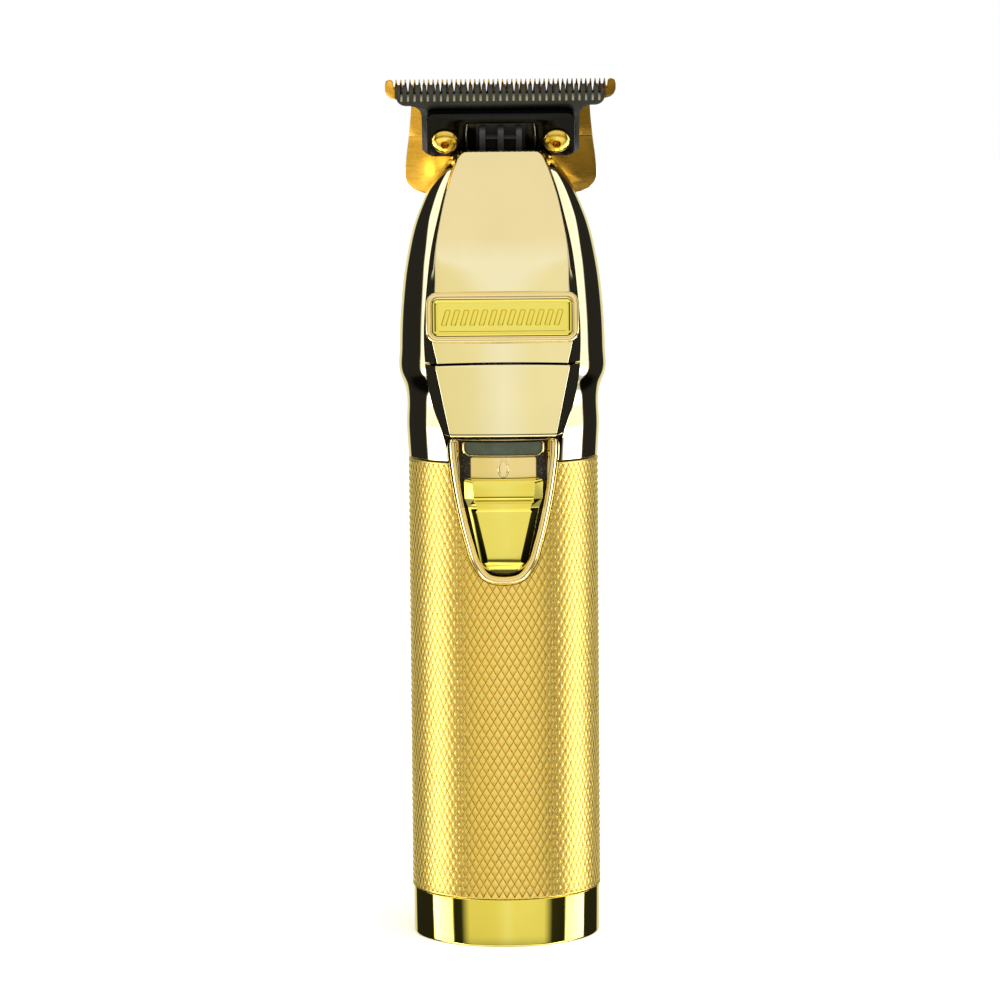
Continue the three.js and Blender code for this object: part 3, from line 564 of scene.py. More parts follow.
def coated_blade(name, coat, steel):
    """Black coated blade: its slots are ground after coating, so their walls are bare steel, painted pale at
    the run-outs as glints and painted dark towards the tips as shade deep in the slots.
    """
    made = Surface(name, metallic=1.0)
    grain = made.noise((9, 0.5, 0.5), 4, 0.65)
    ground = made.ramp(grain, [(0.3, shade(coat, 0.85)), (0.7, shade(coat, 1.15))])
    up = made.reach(BLADE_UP, BLADE_TIP)
    out = made.reach(BLADE_OUT, BLADE_TIP)
    root = MOVING["root"]
    tip, face = MOVING["tip"], MOVING["high"]
    slots = made.times(made.spread(up, root - 0.2, root + 0.1), made.spread(out, face - 0.06, face - 0.16))
    slots = made.times(slots, made.spread(up, tip - 0.05, tip - 0.2))
    # Painted highlight and shade: the bare steel of the slot walls is painted pale at the run-outs and dark
    # towards the tips.
    painted_shade = made.ramp(made.spread(up, root, root + 1.6), [(0.25, steel), (0.6, shade(steel, 0.3))])
    made.link(made.mixed(slots, ground, painted_shade), made.shader.inputs["Base Color"])
    made.roughness(grain, 0.25, 0.4)
    made.bump(grain, 0.004)
    return made.material


# GOLD is a paler copy of the cap's YELLOW plating: painted light, for the brighter, paler highlights on the
# head's polished front.
GOLD = srgb(243, 232, 188)
YELLOW = srgb(238, 223, 108)
RIB_GREY = moulded("yoke_grey", srgb(62, 62, 66), 0.3, (0.4, 0.55), 0.004)
STRIP_BLACK = speckled("grained_black", srgb(10, 10, 12), srgb(120, 118, 108))
FINISHES = {
    "polished_gold": polished("polished_gold_plate", GOLD),
    "yellow_gold": polished("yellow_gold_plate", YELLOW, (0.03, 0.07)),
    # The knurl's second colour is painted shade for its grooves.
    "knurled_gold": knurled("knurled_gold_plate", srgb(248, 221, 124), srgb(172, 120, 50)),
    "rim_gold": polished("rim_gold_plate", srgb(240, 220, 163), (0.03, 0.08)),
    # The blade's second colour is painted shade for its teeth's roots.
    "blade_gold": plated_blade("ground_blade_gold", srgb(226, 174, 66), srgb(84, 66, 40)),
    "screw_gold": polished("screw_gold_plate", srgb(236, 202, 96), (0.2, 0.28)),
    # The steel colour lights the slot walls as painted glints, and darkens to painted shade towards the
    # tips.
    "blade_black": coated_blade("black_coated_blade", srgb(66, 67, 69), srgb(188, 188, 160)),
    "black_metal": brushed("black_coated_steel", srgb(34, 34, 36), (3, 3, 3), (0.14, 0.24), 0.2, 0.001),
    "black_plastic": moulded("black_moulding", (0.012, 0.012, 0.014)),
    "smoked_window": moulded("smoked_window", (0.05, 0.065, 0.045), 2.0, (0.05, 0.1), 0.001),
    "steel": brushed("turned_steel", (0.56, 0.56, 0.58), (4, 4, 12), (0.2, 0.35)),
    "bronze": brushed("sintered_bronze", (0.55, 0.38, 0.18), (5, 5, 5), (0.3, 0.5)),
    "copper": brushed("copper_windings", (0.6, 0.28, 0.14), (8, 8, 1), (0.3, 0.45)),
    "magnet": brushed("nickel_magnet", (0.3, 0.3, 0.31), (6, 6, 6), (0.35, 0.5)),
    "circuit_board": moulded("circuit_board", (0.02, 0.14, 0.05), 0.8, (0.35, 0.5)),
    "battery_wrap": moulded("battery_wrap", (0.05, 0.2, 0.42), 3.0, (0.25, 0.35)),
    "grey_plastic": moulded("grey_moulding", (0.12, 0.13, 0.14)),
    "rubber": moulded("rubber", (0.018, 0.018, 0.018), 0.1, (0.6, 0.8)),
    "red_wire": moulded("red_wire", (0.45, 0.03, 0.025), 0.4, (0.35, 0.5)),
    "clear_led": moulded("clear_led", (0.75, 0.8, 0.85), 1.0, (0.05, 0.15), 0.001),
}


def finished(piece, slot, *stands_for, body="housing", crease=35):
    """Gives a piece its slot's material; stands_for names the CAD nodes it takes the place of."""
    return settle(piece, body, FINISHES[slot], stands_for, crease)


# ---------- end cap and grip ----------
def end_cap():
    radius, top = CAP_HIGH.x, SLEEVE_LOW.z - 0.15
    spigot, inner, depth = SPIGOT["radius"], SPIGOT["inner"], SPIGOT["depth"]
    low, high = SPIGOT["groove"]
    corners = [
        (JACK_HOLE, 0), (radius, 0), (radius, top), (spigot, top), (spigot, low), (spigot - depth, low),
        (spigot - depth, high), (spigot, high), (spigot, CAP_HIGH.z), (inner, CAP_HIGH.z), (inner, 2),
        (JACK_HOLE, 2),
    ]
    radii = [0.4, 0.45, 0.25, 0.1, 0.1, 0.1, 0.1, 0.1, 0.2, 0.2, 0.3, 0.2]
    finished(turned("end_cap_shell", rounded_profile(corners, radii, 8), 256),
             "yellow_gold", "end_cap", crease=40)


def knurl_surface(low, high, radius):
    """Rows of points on the knurled band."""
    count, rows, groove = KNURL["around"], KNURL["rows"], KNURL["groove"]
    lines = np.array([0, groove, 0.5, 1 - groove])
    rise = np.array([-KNURL["depth"], 0, KNURL["crown"], 0])
    around, up = count * 4, rows * 8
    j = np.arange(around)[None, :]
    p = np.arange(up + 1)[:, None]
    i = j + p
    a, b = i // 4 + lines[i % 4], j // 4 + lines[j % 4] + 0 * p
    rise_a, rise_b = rise[i % 4], rise[j % 4] + 0 * p
    height = np.minimum(rise_a, rise_b)
    angle = (a + b) * np.pi / count
    z = low + (a - b) / 2 * (high - low) / rows
    r = radius - KNURL["crown"] + height
    return np.stack([r * np.sin(angle), -r * np.cos(angle), z], -1)


def grip_sleeve():
    radius = SLEEVE_HIGH.x
    bottom, top, collar = SLEEVE_LOW.z, SLEEVE_HIGH.z, KNURL["collar"]
    low, high = bottom + collar, top - collar
    grid = knurl_surface(low, high, radius)
    up, around = grid.shape[0] - 1, grid.shape[1]
    faces = []
    for p in range(up + 1):
        here, above, below = p * around, (p + 1) * around, (p - 1) * around
        for j in range(around):
            k = (j + 1) % around
            if p == 0:
                faces.append((here + j, above + j, here + k))
            elif p == up:
                faces.append((here + j, here + k, below + k))
            else:
                faces.append((here + j, above + j, here + k, below + k))
    directions = grid[0, :, :2] / np.linalg.norm(grid[0, :, :2], axis=1)[:, None]
    inner = SLEEVE_INNER
    rings = [
        (radius, low - 0.05), (radius, bottom + 0.1), (radius - 0.1, bottom), (inner, bottom),
        (inner, top), (radius - 0.1, top), (radius, top - 0.1), (radius, high + 0.05),
    ]
    loops = [np.column_stack([directions * r, np.full(around, z)]) for r, z in rings]
    verts = np.vstack([grid.reshape(-1, 3), *loops])
    start = grid.shape[0] * around
    shift = KNURL["rows"] * 4
    order = [np.arange(around)]
    order += [start + n * around + np.arange(around) for n in range(len(rings))]
    order.append(up * around + (np.arange(around) - shift) % around)
    for a, b in zip(order, order[1:]):
        corners = np.column_stack([a, np.roll(a, -1), np.roll(b, -1), b])
        faces += corners.tolist()
    sleeve = new_piece("knurled_sleeve", verts, faces)
    cut(sleeve, front_prism("notch", v_loop(-0.08, V_TOP + 4), -30, -5))
    finished(sleeve, "knurled_gold", "grip_sleeve", crease=25)


# ---------- head ----------
head_radius = smooth_function(HEAD_RADIUS, 0.6)
panel_front = smooth_function(PANEL_FRONT, 1.6)
island_edge_line = smooth_function(ISLAND_EDGE, 1.2)
wall_foot = smooth_function(WALL_FOOT, 1.2)


def lip_narrowing(z):
    """How much the raised front narrows round its top corners."""
    corner = HEAD["lip_corner"]
    rise = z - (HEAD_HIGH.z - corner)
    return corner - math.sqrt(max(corner * corner - rise * rise, 0)) if rise > 0 else 0


def section(z, edge, foot):
    """Right half of the head's section, from the middle of its front round to the back."""
    radius, front = head_radius(z), panel_front(z)
    foot = min(foot, radius * 0.97)
    edge = min(edge, foot - 0.15)
    corner = np.array([edge, front + edge * edge / (2 * PANEL_CROWN)])
    meet = np.array([foot, -math.sqrt(radius * radius - foot * foot)])
    along = unit([1, edge / PANEL_CROWN])
    wall = unit(meet - corner)
    tangent = unit([-meet[1], meet[0]])
    length = np.linalg.norm(meet - corner)
    edge_round = round_corner(corner, along, wall, min(FILLET["edge"], length * 0.5), 7)
    foot_round = round_corner(meet, wall, tangent, min(FILLET["foot"], length * 0.8), 6)
    panel = [(x, front + x * x / (2 * PANEL_CROWN)) for x in np.linspace(0, edge_round[0][0], 15)[:-1]]
    side = np.linspace(edge_round[-1], foot_round[0], 5)[1:-1]
    start = math.atan2(foot_round[-1][0], -foot_round[-1][1])
    body = [(radius * math.sin(t), -radius * math.cos(t)) for t in np.linspace(start, math.pi, 72)[1:]]
    return np.array([*panel, *edge_round, *side, *foot_round, *body])


PANEL_POINTS = 15 - 1 + 7 + 3 + 6


def whole_loop(half):
    """Both sides of a section, from its right half."""
    left = half[1:-1][::-1] * (-1, 1)
    return np.vstack([half, left])


def seam_rise(x):
    return SEAM["rise"] * np.clip(1 - (x / SEAM["half"]) ** 2, 0, 1)


def fade(t):
    t = min(max(t, 0), 1)
    return t * t * (3 - 2 * t)


def round_section(z):
    """The plain round body below the seam, with points at the same places across."""
    half = section(SEAM["z"], island_edge_line(SEAM["z"]), wall_foot(SEAM["z"]))
    radius = head_radius(z)
    front = [(x, -math.sqrt(radius * radius - x * x)) for x, _ in half[:PANEL_POINTS]]
    start = math.atan2(front[-1][0], -front[-1][1])
    body = [(radius * math.sin(t), -radius * math.cos(t)) for t in np.linspace(start, math.pi, 72)[1:]]
    return np.array([*front, *body])


def head_loops():
    bottom, top, seam = HEAD_LOW.z, HEAD_HIGH.z, SEAM["z"]
    loops = []
    for z in [bottom, bottom + 0.12, *np.arange(bottom + 0.6, seam - 0.1, 0.4), seam]:
        loop = whole_loop(round_section(z))
        if z == bottom:
            loop = inset_loop(loop, 0.12)
        loops.append(np.column_stack([loop, np.full(len(loop), z)]))
    roundings = [(top - 0.35, 0), (top - 0.2, 0.05), (top - 0.08, 0.16), (top, 0.35)]
    rows = [(z, 0) for z in [*np.arange(seam, top - 1.6, 0.4), *np.linspace(top - 1.5, top - 0.5, 9)]]
    for z, inset in rows + roundings:
        narrow = lip_narrowing(z)
        half = section(z, island_edge_line(z) - narrow, wall_foot(z) - narrow)
        loop = whole_loop(half)
        if inset:
            loop = inset_loop(loop, inset)
        lift = seam_rise(loop[:, 0]) * (loop[:, 1] < 0) * (1 - fade((z - seam) / SEAM["fade"]))
        loops.append(np.column_stack([loop, z + lift]))
    return loops


def head_cavity():
    wall = HEAD["wall"]
    angles = np.linspace(0, 2 * np.pi, 96, endpoint=False)
    loops = []
    for z in np.arange(HEAD_LOW.z - 2, HEAD_HIGH.z + 3, 1.0):
        at = min(z, HEAD_HIGH.z)
        radius, front = head_radius(max(at, HEAD_LOW.z)) - wall, panel_front(z) + wall
        loop = []
        for t in angles:
            reach = radius
            if math.cos(t) > 0.05:
                for _ in range(3):
                    drop = (min(reach, radius) * math.sin(t)) ** 2 / (2 * PANEL_CROWN)
                    reach = (-front - drop) / math.cos(t)
            reach = max(min(reach, radius), 0.5)
            loop.append((reach * math.sin(t), -reach * math.cos(t), z))
        loops.append(np.array(loop))
    return loft("cavity", loops)


def blade_place():
    """From the blade's frame (x, up the blade, out of its front) to the part's frame."""
    return Matrix.Translation(BLADE_TIP) @ Matrix.Rotation(math.radians(90 + BLADE_TILT), 4, "X")


def on_blade(piece):
    return move(piece, blade_place())


def blade_slab(v0, v1, n0, n1, x=30):
    return on_blade(slab("blade_slab", (-x, v0, n0), (x, v1, n1)))


def pin(name, radius, x, y, low, high, segments=48):
    piece = turned(name, [(radius, low), (radius, high)], segments, False)
    return move(piece, Matrix.Translation((x, y, 0)))


def screw_pin(size, side, grow, low, high):
    """A round bar along one screw of a pair, wider than its shank by grow all round."""
    return pin("screw_pin", size["shank"] + grow, side * size["x"], size["v"], low, high)


def badge_outline(grow, steps=8):
    low, high = BADGE_LOW, BADGE_HIGH
    corner = max(BADGE_CORNER + grow, 0.5)
    return rounded_box(low.x - grow, low.z - grow, high.x + grow, high.z + grow, corner, steps)


def head_shell():
    shell = loft("head", head_loops())
    join(shell, bevelled(front_prism("badge_boss", badge_outline(-0.35), BADGE_HIGH.y - 0.3, -9), 0.3))
    cut(shell, front_prism("badge_pocket", badge_outline(0.06), -30, BADGE_HIGH.y + 0.02))
    behind_seat = blade_slab(-60, 30, -30, HEAD["wall"] - FIXED["thickness"])
    cut(shell, cut(head_cavity(), behind_seat))
    cuts = [
        blade_slab(MOVING["bottom"] - 0.4, 30, -30, TENSION["high"] + 0.3),
        blade_slab(FIXED["bottom"] - 0.3, 30, -30, 0.2),
        blade_slab(-60, 30, -30, -FIXED["thickness"]),
    ]
    head_room = BLADE_SCREW["head"] - BLADE_SCREW["shank"] + 0.4
    for side in (-1, 1):
        cuts.append(on_blade(screw_pin(BLADE_SCREW, side, head_room, 0, 8)))
        cuts.append(on_blade(screw_pin(MOUNT_SCREW, side, SCREW_CLEARANCE, -4, 4)))
    return cut(shell, *cuts)


def pocket_outline():
    """Front outline of the opening that the lower panel fills."""
    low = FRAME_HIGH.z - 3
    heights = np.linspace(low, SEAM["z"], 30)
    right = [(wall_foot(z) + 0.08, z) for z in heights]
    across = np.linspace(right[-1][0], -right[-1][0], 41)
    top = [(x, SEAM["z"] + 0.1 + seam_rise(x)) for x in across]
    left = [(-x, z) for x, z in reversed(right)]
    return [*right, *top, *left]


def head_covers():
    shell = head_shell()
    rear = copy_of(shell, "rear_shell")
    split, half_gap = HEAD["split"], HEAD["part_line"] / 2
    common(rear, slab("rear_half", (-40, split + half_gap, 60), (40, 60, 200)))
    shell.name = "front_shell"
    common(shell, slab("front_half", (-40, -60, 60), (40, split - half_gap, 200)))
    cut(
        shell,
        front_prism("pocket", pocket_outline(), -30, -11.6),
        front_prism("notch", v_loop(-0.08, V_TOP + 0.08), -30, -5),
    )
    finished(shell, "polished_gold", "front_cover", crease=28)
    finished(rear, "polished_gold", "rear_cover", crease=28)


def lower_panel():
    low, high = FRAME_HIGH.z + 0.35, SEAM["z"] + 0.1 - SEAM["gap"]
    ends = [(0, 0.3), (0.09, 0.09), (0.3, 0)]
    rows = [(low + rise, inset) for rise, inset in ends]
    rows += [(z, 0) for z in np.linspace(low + 0.7, high - 0.7, 32)]
    rows += [(high - rise, inset) for rise, inset in reversed(ends)]
    loops = []
    for z, inset in rows:
        share = (z - LOWER_EDGE["start"]) / (SEAM["z"] - LOWER_EDGE["start"])
        edge = LOWER_EDGE["low"] + share * (LOWER_EDGE["high"] - LOWER_EDGE["low"])
        half = section(z, edge, wall_foot(z))[:PANEL_POINTS - 1]
        half = np.vstack([half, half[-1] + (0, 0.6), (0, -11.7)])
        loop = whole_loop(half)
        if inset:
            loop = inset_loop(loop, inset)
        rising = fade((z - LOWER_EDGE["lift_start"]) / (SEAM["z"] - LOWER_EDGE["lift_start"]))
        lift = seam_rise(loop[:, 0]) * rising
        loops.append(np.column_stack([loop, z + lift]))
    finished(loft("lower_panel_shell", loops), "polished_gold", "lower_panel", crease=40)


# ---------- badge ----------
def badge():
    """The frame, the plate inside it and its relief; each step is (inset, depth from the front)."""
    front, back = BADGE_LOW.y, BADGE_HIGH.y - BADGE_LOW.y
    steps = [
        (0, back), (0, 0.75), (0.07, 0.4), (0.25, 0.14), (0.5, 0.02), (0.75, 0), (0.95, 0.06),
        (1.02, 0.16), (1.06, 0.3), (1.16, 0.32), (1.26, 0.4), (1.3, 0.9), (1.3, back),
    ]
    loops = [facing(badge_outline(-inset), front + depth) for inset, depth in steps]
    finished(loft("badge_bezel", loops, closed=True), "rim_gold", "badge_frame")
    plate_steps = [
        (1.32, back - 0.4), (1.32, 0.75), (1.4, 0.6), (1.62, 0.54), (1.78, 0.6), (1.9, 0.74),
        (2.05, 0.78), (2.2, 0.72), (2.3, 0.72), (2.6, 0.72),
    ]
    loops = [facing(badge_outline(-inset), front + depth) for inset, depth in plate_steps]
    finished(loft("badge_face", loops), "yellow_gold", "badge_plate")
    finished(relief_bars((BADGE_LOW.z + BADGE_HIGH.z) / 2, front + 0.72), "yellow_gold")


def relief_bars(middle, base):
    """A row of raised slanted bars where a badge would carry its lettering."""
    wide, tall, lean = BARS["half_width"], BARS["half_height"], BARS["lean"]
    steps = [(0, 0.04), (0, -0.02), (0.17, -0.36), (0.21, -0.4), (0.27, -0.41)]
    bars = []
    for i in range(BARS["count"]):
        x = (i - (BARS["count"] - 1) / 2) * BARS["pitch"]
        signs = [(-1, -1), (1, -1), (1, 1), (-1, 1)]
        corners = [(x + a * wide + b * lean, middle + b * tall) for a, b in signs]
        outline = rounded_polygon(corners, [0.3] * 4, 6)
        bars.append([facing(inset_loop(outline, inset), base + rise) for inset, rise in steps])
    return lofts("badge_relief", bars)


# ---------- switch ----------
def v_half(inset, flare=0.0):
    """Right side of the V outline moved inwards, from above its top to its lowest point."""
    right = spline(V_OUTLINE + [(-x, z) for x, z in reversed(V_OUTLINE[:-1])], 241)[:121]
    along = np.gradient(right, axis=0)
    along /= np.linalg.norm(along, axis=1)[:, None]
    inward = np.column_stack([along[:, 1], -along[:, 0]])
    depth = np.array([inset + flare * fade((z - 85) / 6) for z in right[:, 1]])
    moved = right + inward * depth[:, None]
    above = moved[0] - unit(moved[1] - moved[0]) * 6
    moved[-1, 0] = 0
    return np.vstack([above, moved])


def v_loop(inset, top, corner=1.0, flare=0.0):
    """The V outline moved inwards, with a straight top edge and rounded top corners."""
    side = v_half(inset, flare)
    first = int(np.argmax(side[:, 1] < top - corner * 1.4))
    out = unit(side[first] - side[first - 1])
    x = side[first, 0] + (top - side[first, 1]) * out[0] / out[1]
    rounding = round_corner((x, top), np.array([1.0, 0.0]), out, corner, 8)
    edge = np.linspace((0, top), rounding[0], 8)[:-1]
    down = resample(np.vstack([rounding[-1], side[first:]]), 60)[1:]
    right = np.vstack([edge, rounding, down])
    left = right[1:-1][::-1] * (-1, 1)
    return np.vstack([right, left])


def switch_fascia():
    """The raised rim of the V frame: a steep outside, a rounded top and a stepped inside.

    Each step is (inset, share of the flare at its top, drop at its top, radius from the axis).
    """
    foot = RECESS_RADIUS - 0.15
    steps = [
        (0, 0, 0, foot), (0, 0, 0, 17.7), (0.1, 0, 0.02, 18.2), (0.4, 0, 0.06, 18.72),
        (0.62, 0, 0.1, 18.93), (0.85, 0, 0.14, 19.0), (1.1, 0, 0.18, 18.99), (1.25, 0, 0.2, 18.92),
        (1.33, 0, 0.22, 18.78), (1.4, 0.05, 0.24, 18.72), (1.54, 0.15, 0.28, 18.72), (1.64, 0.3, 0.31, 18.6),
        (1.82, 0.8, 0.35, 18.0), (1.96, 1, 0.38, 17.4), (1.98, 1, 0.4, foot),
    ]
    loops = []
    for inset, flare, drop, radius in steps:
        outline = v_loop(inset, FRAME_HIGH.z - drop, 1.1 - 0.3 * inset, 0.5 * flare)
        loops.append(wrapped(outline, radius))
    finished(loft("switch_bezel", loops, closed=True), "rim_gold", "switch_fascia")
    bed = curved_plate("switch_bed", v_loop(1.8, V_TOP - 0.3, 0.5), 16.8, RECESS_RADIUS)
    settle(bed, "housing", STRIP_BLACK)


def indicator_window():
    """A lip, made of (inset, radius) steps, and the pane inside it."""
    low, high = box_mm("indicator_window")
    x0, x1, z0, z1 = low.x, high.x, low.z, high.z
    side, sill = 0.5, 0.3
    steps = [(0.0, 17.1), (0.0, 18.2), (0.12, 18.42), (0.3, 18.46), (0.42, 18.36), (0.5, 18.1)]
    loops = []
    for inset, radius in steps:
        left, bottom = x0 + inset, z0 - sill + inset
        frame_line = [(left, bottom), (-left, bottom), (-left, z1), (left, z1)]
        outline = rounded_polygon(frame_line, [1.5 - inset, 1.5 - inset, 0.35, 0.35])
        loops.append(wrapped(densified(outline), radius))
    lip = loft("window_lip", loops)
    radii = [1, 1, 0.35, 0.35]
    half, bottom = x1 - side, z0 - sill + side
    hole = rounded_polygon([(-half, bottom), (half, bottom), (half, z1 + 1), (-half, z1 + 1)], radii)
    opening = front_prism("opening", hole, -30, -5)
    finished(cut(lip, opening), "rim_gold")
    half -= 0.03
    inner = rounded_polygon([(-half, bottom), (half, bottom), (half, z1), (-half, z1)], radii)
    pane = curved_plate("window_pane", inner, 17.2, 18.22)
    finished(bevelled(pane, 0.1), "smoked_window", "indicator_window")


def densified(outline):
    """The same closed outline with extra points on its long sides."""
    found = []
    for i, point in enumerate(outline):
        following = outline[(i + 1) % len(outline)]
        length = np.linalg.norm(following - point)
        found.append(point)
        if length > 0.6:
            found += list(np.linspace(point, following, 16 if length > 3 else 4)[1:-1])
    return found


def off_mark():
    low, high = box_mm("off_mark_panel")
    outer = -low.y
    panel = curved_plate("off_panel", rounded_box(low.x, low.z, high.x, high.z, 0.3), 17.1, outer)
    finished(bevelled(panel, 0.12), "rim_gold", "off_mark_panel")
    middle = (low.z + high.z) / 2 + 0.1
    angles = np.linspace(0, 2 * np.pi, 64, endpoint=False)
    steps = [
        (0, -0.3), (0, 0.02), (0.05, 0.18), (0.13, 0.24), (0.33, 0.24), (0.41, 0.18), (0.46, 0.02),
        (0.46, -0.3),
    ]
    loops = []
    for inset, rise in steps:
        wide, tall = OFF_RING["half_width"] - inset, OFF_RING["half_height"] - inset
        outline = [(wide * math.cos(t), middle + tall * math.sin(t)) for t in angles]
        loops.append(wrapped(outline, outer + rise))
    finished(loft("off_ring", loops, closed=True), "rim_gold")


def slider_body():
    """A curved base, and a raised part whose walls slope in from its foot to its face."""
    low, high = box_mm("switch_slider")
    front, top = low.y, high.z
    base = bevelled(curved_plate("slider", v_loop(2.35, top, 0.9), 17.9, 18.42), 0.18)
    foot = [(7.3, top - 0.05), (7.15, 84.2), (6.55, 82.6), (4.05, 70.7)]
    face = [(5.8, top - 0.3), (5.5, 84.2), (4.95, 82.6), (2.45, 71.8)]
    loops = []
    levels = [
        (foot, -16.3, 2.4), (foot, -18.12, 2.4), (face, front + 0.25, 1.4), (face, front - 0.2, 1.4),
    ]
    for half, y, round_low in levels:
        outline = [*half[::-1], *[(-x, z) for x, z in half]]
        radii = [round_low, 2, 0.3, 0.5]
        loops.append(facing(rounded_polygon(outline, [*radii, *reversed(radii)], 6), y))
    raised = cut(loft("raised", loops), turned("bore", [(17.9, 60), (17.9, 100)], 200, False))
    ridges = [
        (-10, 100), (0.9, 100), (0.22, top - 0.2), (0.02, 85.2), (0, 84.5), (0.12, 84.1), (0.4, 83.75),
        (0.42, 83.5), (0.1, 83.2), (0.06, 82.6), (0.3, 82.1), (0.5, 81.75), (0.42, 81.4), (0.42, 73.0),
        (0.62, 72.0), (1.3, 70.9), (1.6, 60), (-10, 60),
    ]
    loops = [np.array([(x, front + depth, z) for depth, z in ridges]) for x in (-12, 12)]
    cut(raised, loft("ridge_tool", loops))
    body = join(base, bevelled(raised, 0.16, 3, 28))
    stem = slab("stem", (-1.4, -18.2, 77.5), (1.4, -15.3, 82.5))
    finished(join(body, stem), "yellow_gold", "switch_slider", body="switch")


# ---------- blade set ----------
def fixed_blade_outline():
    """Teeth, then the rounded guard, the wing and the rounded lower corner, on both sides."""
    pitch, teeth, depth, bottom = FIXED["pitch"], FIXED["teeth"], FIXED["depth"], FIXED["bottom"]
    right = [(0, -depth)]
    for i in range(teeth // 2, teeth):
        x = (i + 0.5 - teeth / 2) * pitch
        right += [(x - 0.1, -0.12), (x - 0.05, 0), (x + 0.05, 0), (x + 0.1, -0.12)]
        if i < teeth - 1:
            right.append((x + pitch / 2, -depth))
    guard = [
        (19.5, -0.9), (19.6, -1.9), (19.72, -2.05), (19.84, -1.9), (19.9, -0.8), (20.05, -0.3),
        (20.4, -0.05), (20.8, -0.1), (21.2, -0.5), (21.42, -1.3), (21.4, -2.3), (21.1, -3.2),
        (20.5, -3.9), (19.6, -4.2), (18.9, -4.3),
    ]
    wing = [(17.3, -4.6), (16.6, -5.6), (16.8, -9), (17.28, -14.25), (17.74, -17.9), (18, -21)]
    corner = [(18.0, -22.3), (17.6, -23.6), (16.6, -24.9), (15, -25.8), (12.4, bottom)]
    right += [*guard, *wing, *corner]
    return [*right, *[(-x, v) for x, v in reversed(right) if x > 0]]


def fixed_blade():
    blade = plate("fixed_blade_plate", fixed_blade_outline(), -FIXED["thickness"], 0)
    edge = Matrix.Translation((0, -5.5, -FIXED["thickness"]))
    taper = move(slab("taper", (-40, 0, -3), (40, 12, 0)), edge @ Matrix.Rotation(math.radians(14), 4, "X"))
    tools = [taper]
    for side in (-1, 1):
        tools += [screw_pin(size, side, SCREW_CLEARANCE, -5, 5) for size in (BLADE_SCREW, MOUNT_SCREW)]
    tools.append(slab("line", (-40, FIXED["line"] - 0.09, -0.08), (40, FIXED["line"] + 0.09, 1)))
    bevelled(cut(blade, *tools), 0.05, 2, 40)
    finished(on_blade(blade), "blade_gold", "fixed_blade")


def moving_blade():
    half, stem, bottom, bar, tip = (MOVING[key] for key in ("half", "stem", "bottom", "bar", "tip"))
    right = [(half - 0.35, tip), (half, tip - 0.35)]
    right += round_corner((half, bar), np.array([0.0, -1.0]), np.array([-1.0, 0.0]), 1.8, 8)
    right += round_corner((stem, bar), np.array([-1.0, 0.0]), np.array([0.0, -1.0]), 2.2, 8)
    right += [(stem, bottom + 1), (stem - 1, bottom)]
    left = [(-p[0], p[1]) for p in reversed(right)]
    blade = plate("moving_blade_plate", [*right, *left], MOVING["low"], MOVING["high"])
    tools = []
    room = 2.25
    for side in (-1, 1):
        x, v = side * BLADE_SCREW["x"], BLADE_SCREW["v"]
        slot = rounded_box(x - STROKE - room, v - room, x + STROKE + room, v + room, room - 0.01, 12)
        tools.append(plate("slot", slot, 0, 3))
    cut(blade, *tools)
    bevelled(blade, 0.12, 2)
    cut(blade, tooth_slots())
    finished(on_blade(blade), "blade_black", "moving_blade", body="cutter")


def tooth_slots():
    """One tool with every slot of the moving blade; each runs out in a slope at its root."""
    slots, pitch, tip, root = MOVING["slots"], MOVING["pitch"], MOVING["tip"], MOVING["root"]
    face = MOVING["high"]
    low, high = MOVING["low"] - 0.5, face + 0.5
    profile = [
        (1.0, low), (tip - 1.6, low), (root + 0.55, face - 0.75), (root, face), (root, high), (1.0, high),
    ]
    # The slots widen at the tips, so their side walls fold where the order of the corners says.
    count = len(profile)
    verts, faces = [], []
    for i in range(slots):
        x = (i - (slots - 1) / 2) * pitch
        a, b = len(verts), len(verts) + count
        for side in (-1, 1):
            verts += [(x + side * MOVING["slot_tip" if v > tip else "slot"], v, n) for v, n in profile]
        faces += [tuple(range(a, b)), tuple(reversed(range(b, b + count)))]
        faces += [(a + k, a + (k + 1) % count, b + (k + 1) % count, b + k) for k in range(count)]
    return new_piece("tooth_slots", verts, faces)


def tension_plate():
    low, high, half = TENSION["low"], TENSION["high"], TENSION["half"]
    top, bottom, notch = TENSION["top"], TENSION["bottom"], TENSION["notch"]
    body = plate("tension_bracket", rounded_box(-half, bottom, half, top, 1.6, 8), low, high)
    opening = plate("opening", rounded_box(-notch, bottom - 5, notch, TENSION["notch_top"], 0.8, 6), 0, 6)
    cut(body, opening)
    bevelled(body, 0.3, 4)
    tools = []
    for side in (-1, 1):
        join(body, screw_pin(BLADE_SCREW, side, 0.7, MOVING["low"], high - 0.01))
        tools.append(screw_pin(BLADE_SCREW, side, SCREW_CLEARANCE, -1, 6))
    finished(on_blade(cut(body, *tools)), "black_metal", "tension_plate")


def domed_screw(name, size, length):
    """A domed head with a deep hexagon socket, on a plain shank that points down."""
    head, height, shank = size["head"], size["height"], size["shank"]
    edge, socket = height * 0.22, head * 0.33
    quarter = np.linspace(0, math.pi / 2, 18)
    dome = [(head * math.cos(t), edge + (height - edge) * math.sin(t)) for t in quarter]
    dome[-1] = (0.02, height)
    profile = [
        (shank * 0.8, -length), (shank, 0.2 - length), (shank, 0), (head - 0.08, 0), (head, 0.08), *dome,
    ]
    body = turned(name, profile, 96, False)
    hexagon = [(socket * math.cos(t), socket * math.sin(t)) for t in np.radians(range(0, 360, 60))]
    return bevelled(cut(body, plate("socket", hexagon, -0.9, height + 1)), 0.06, 2, 45)


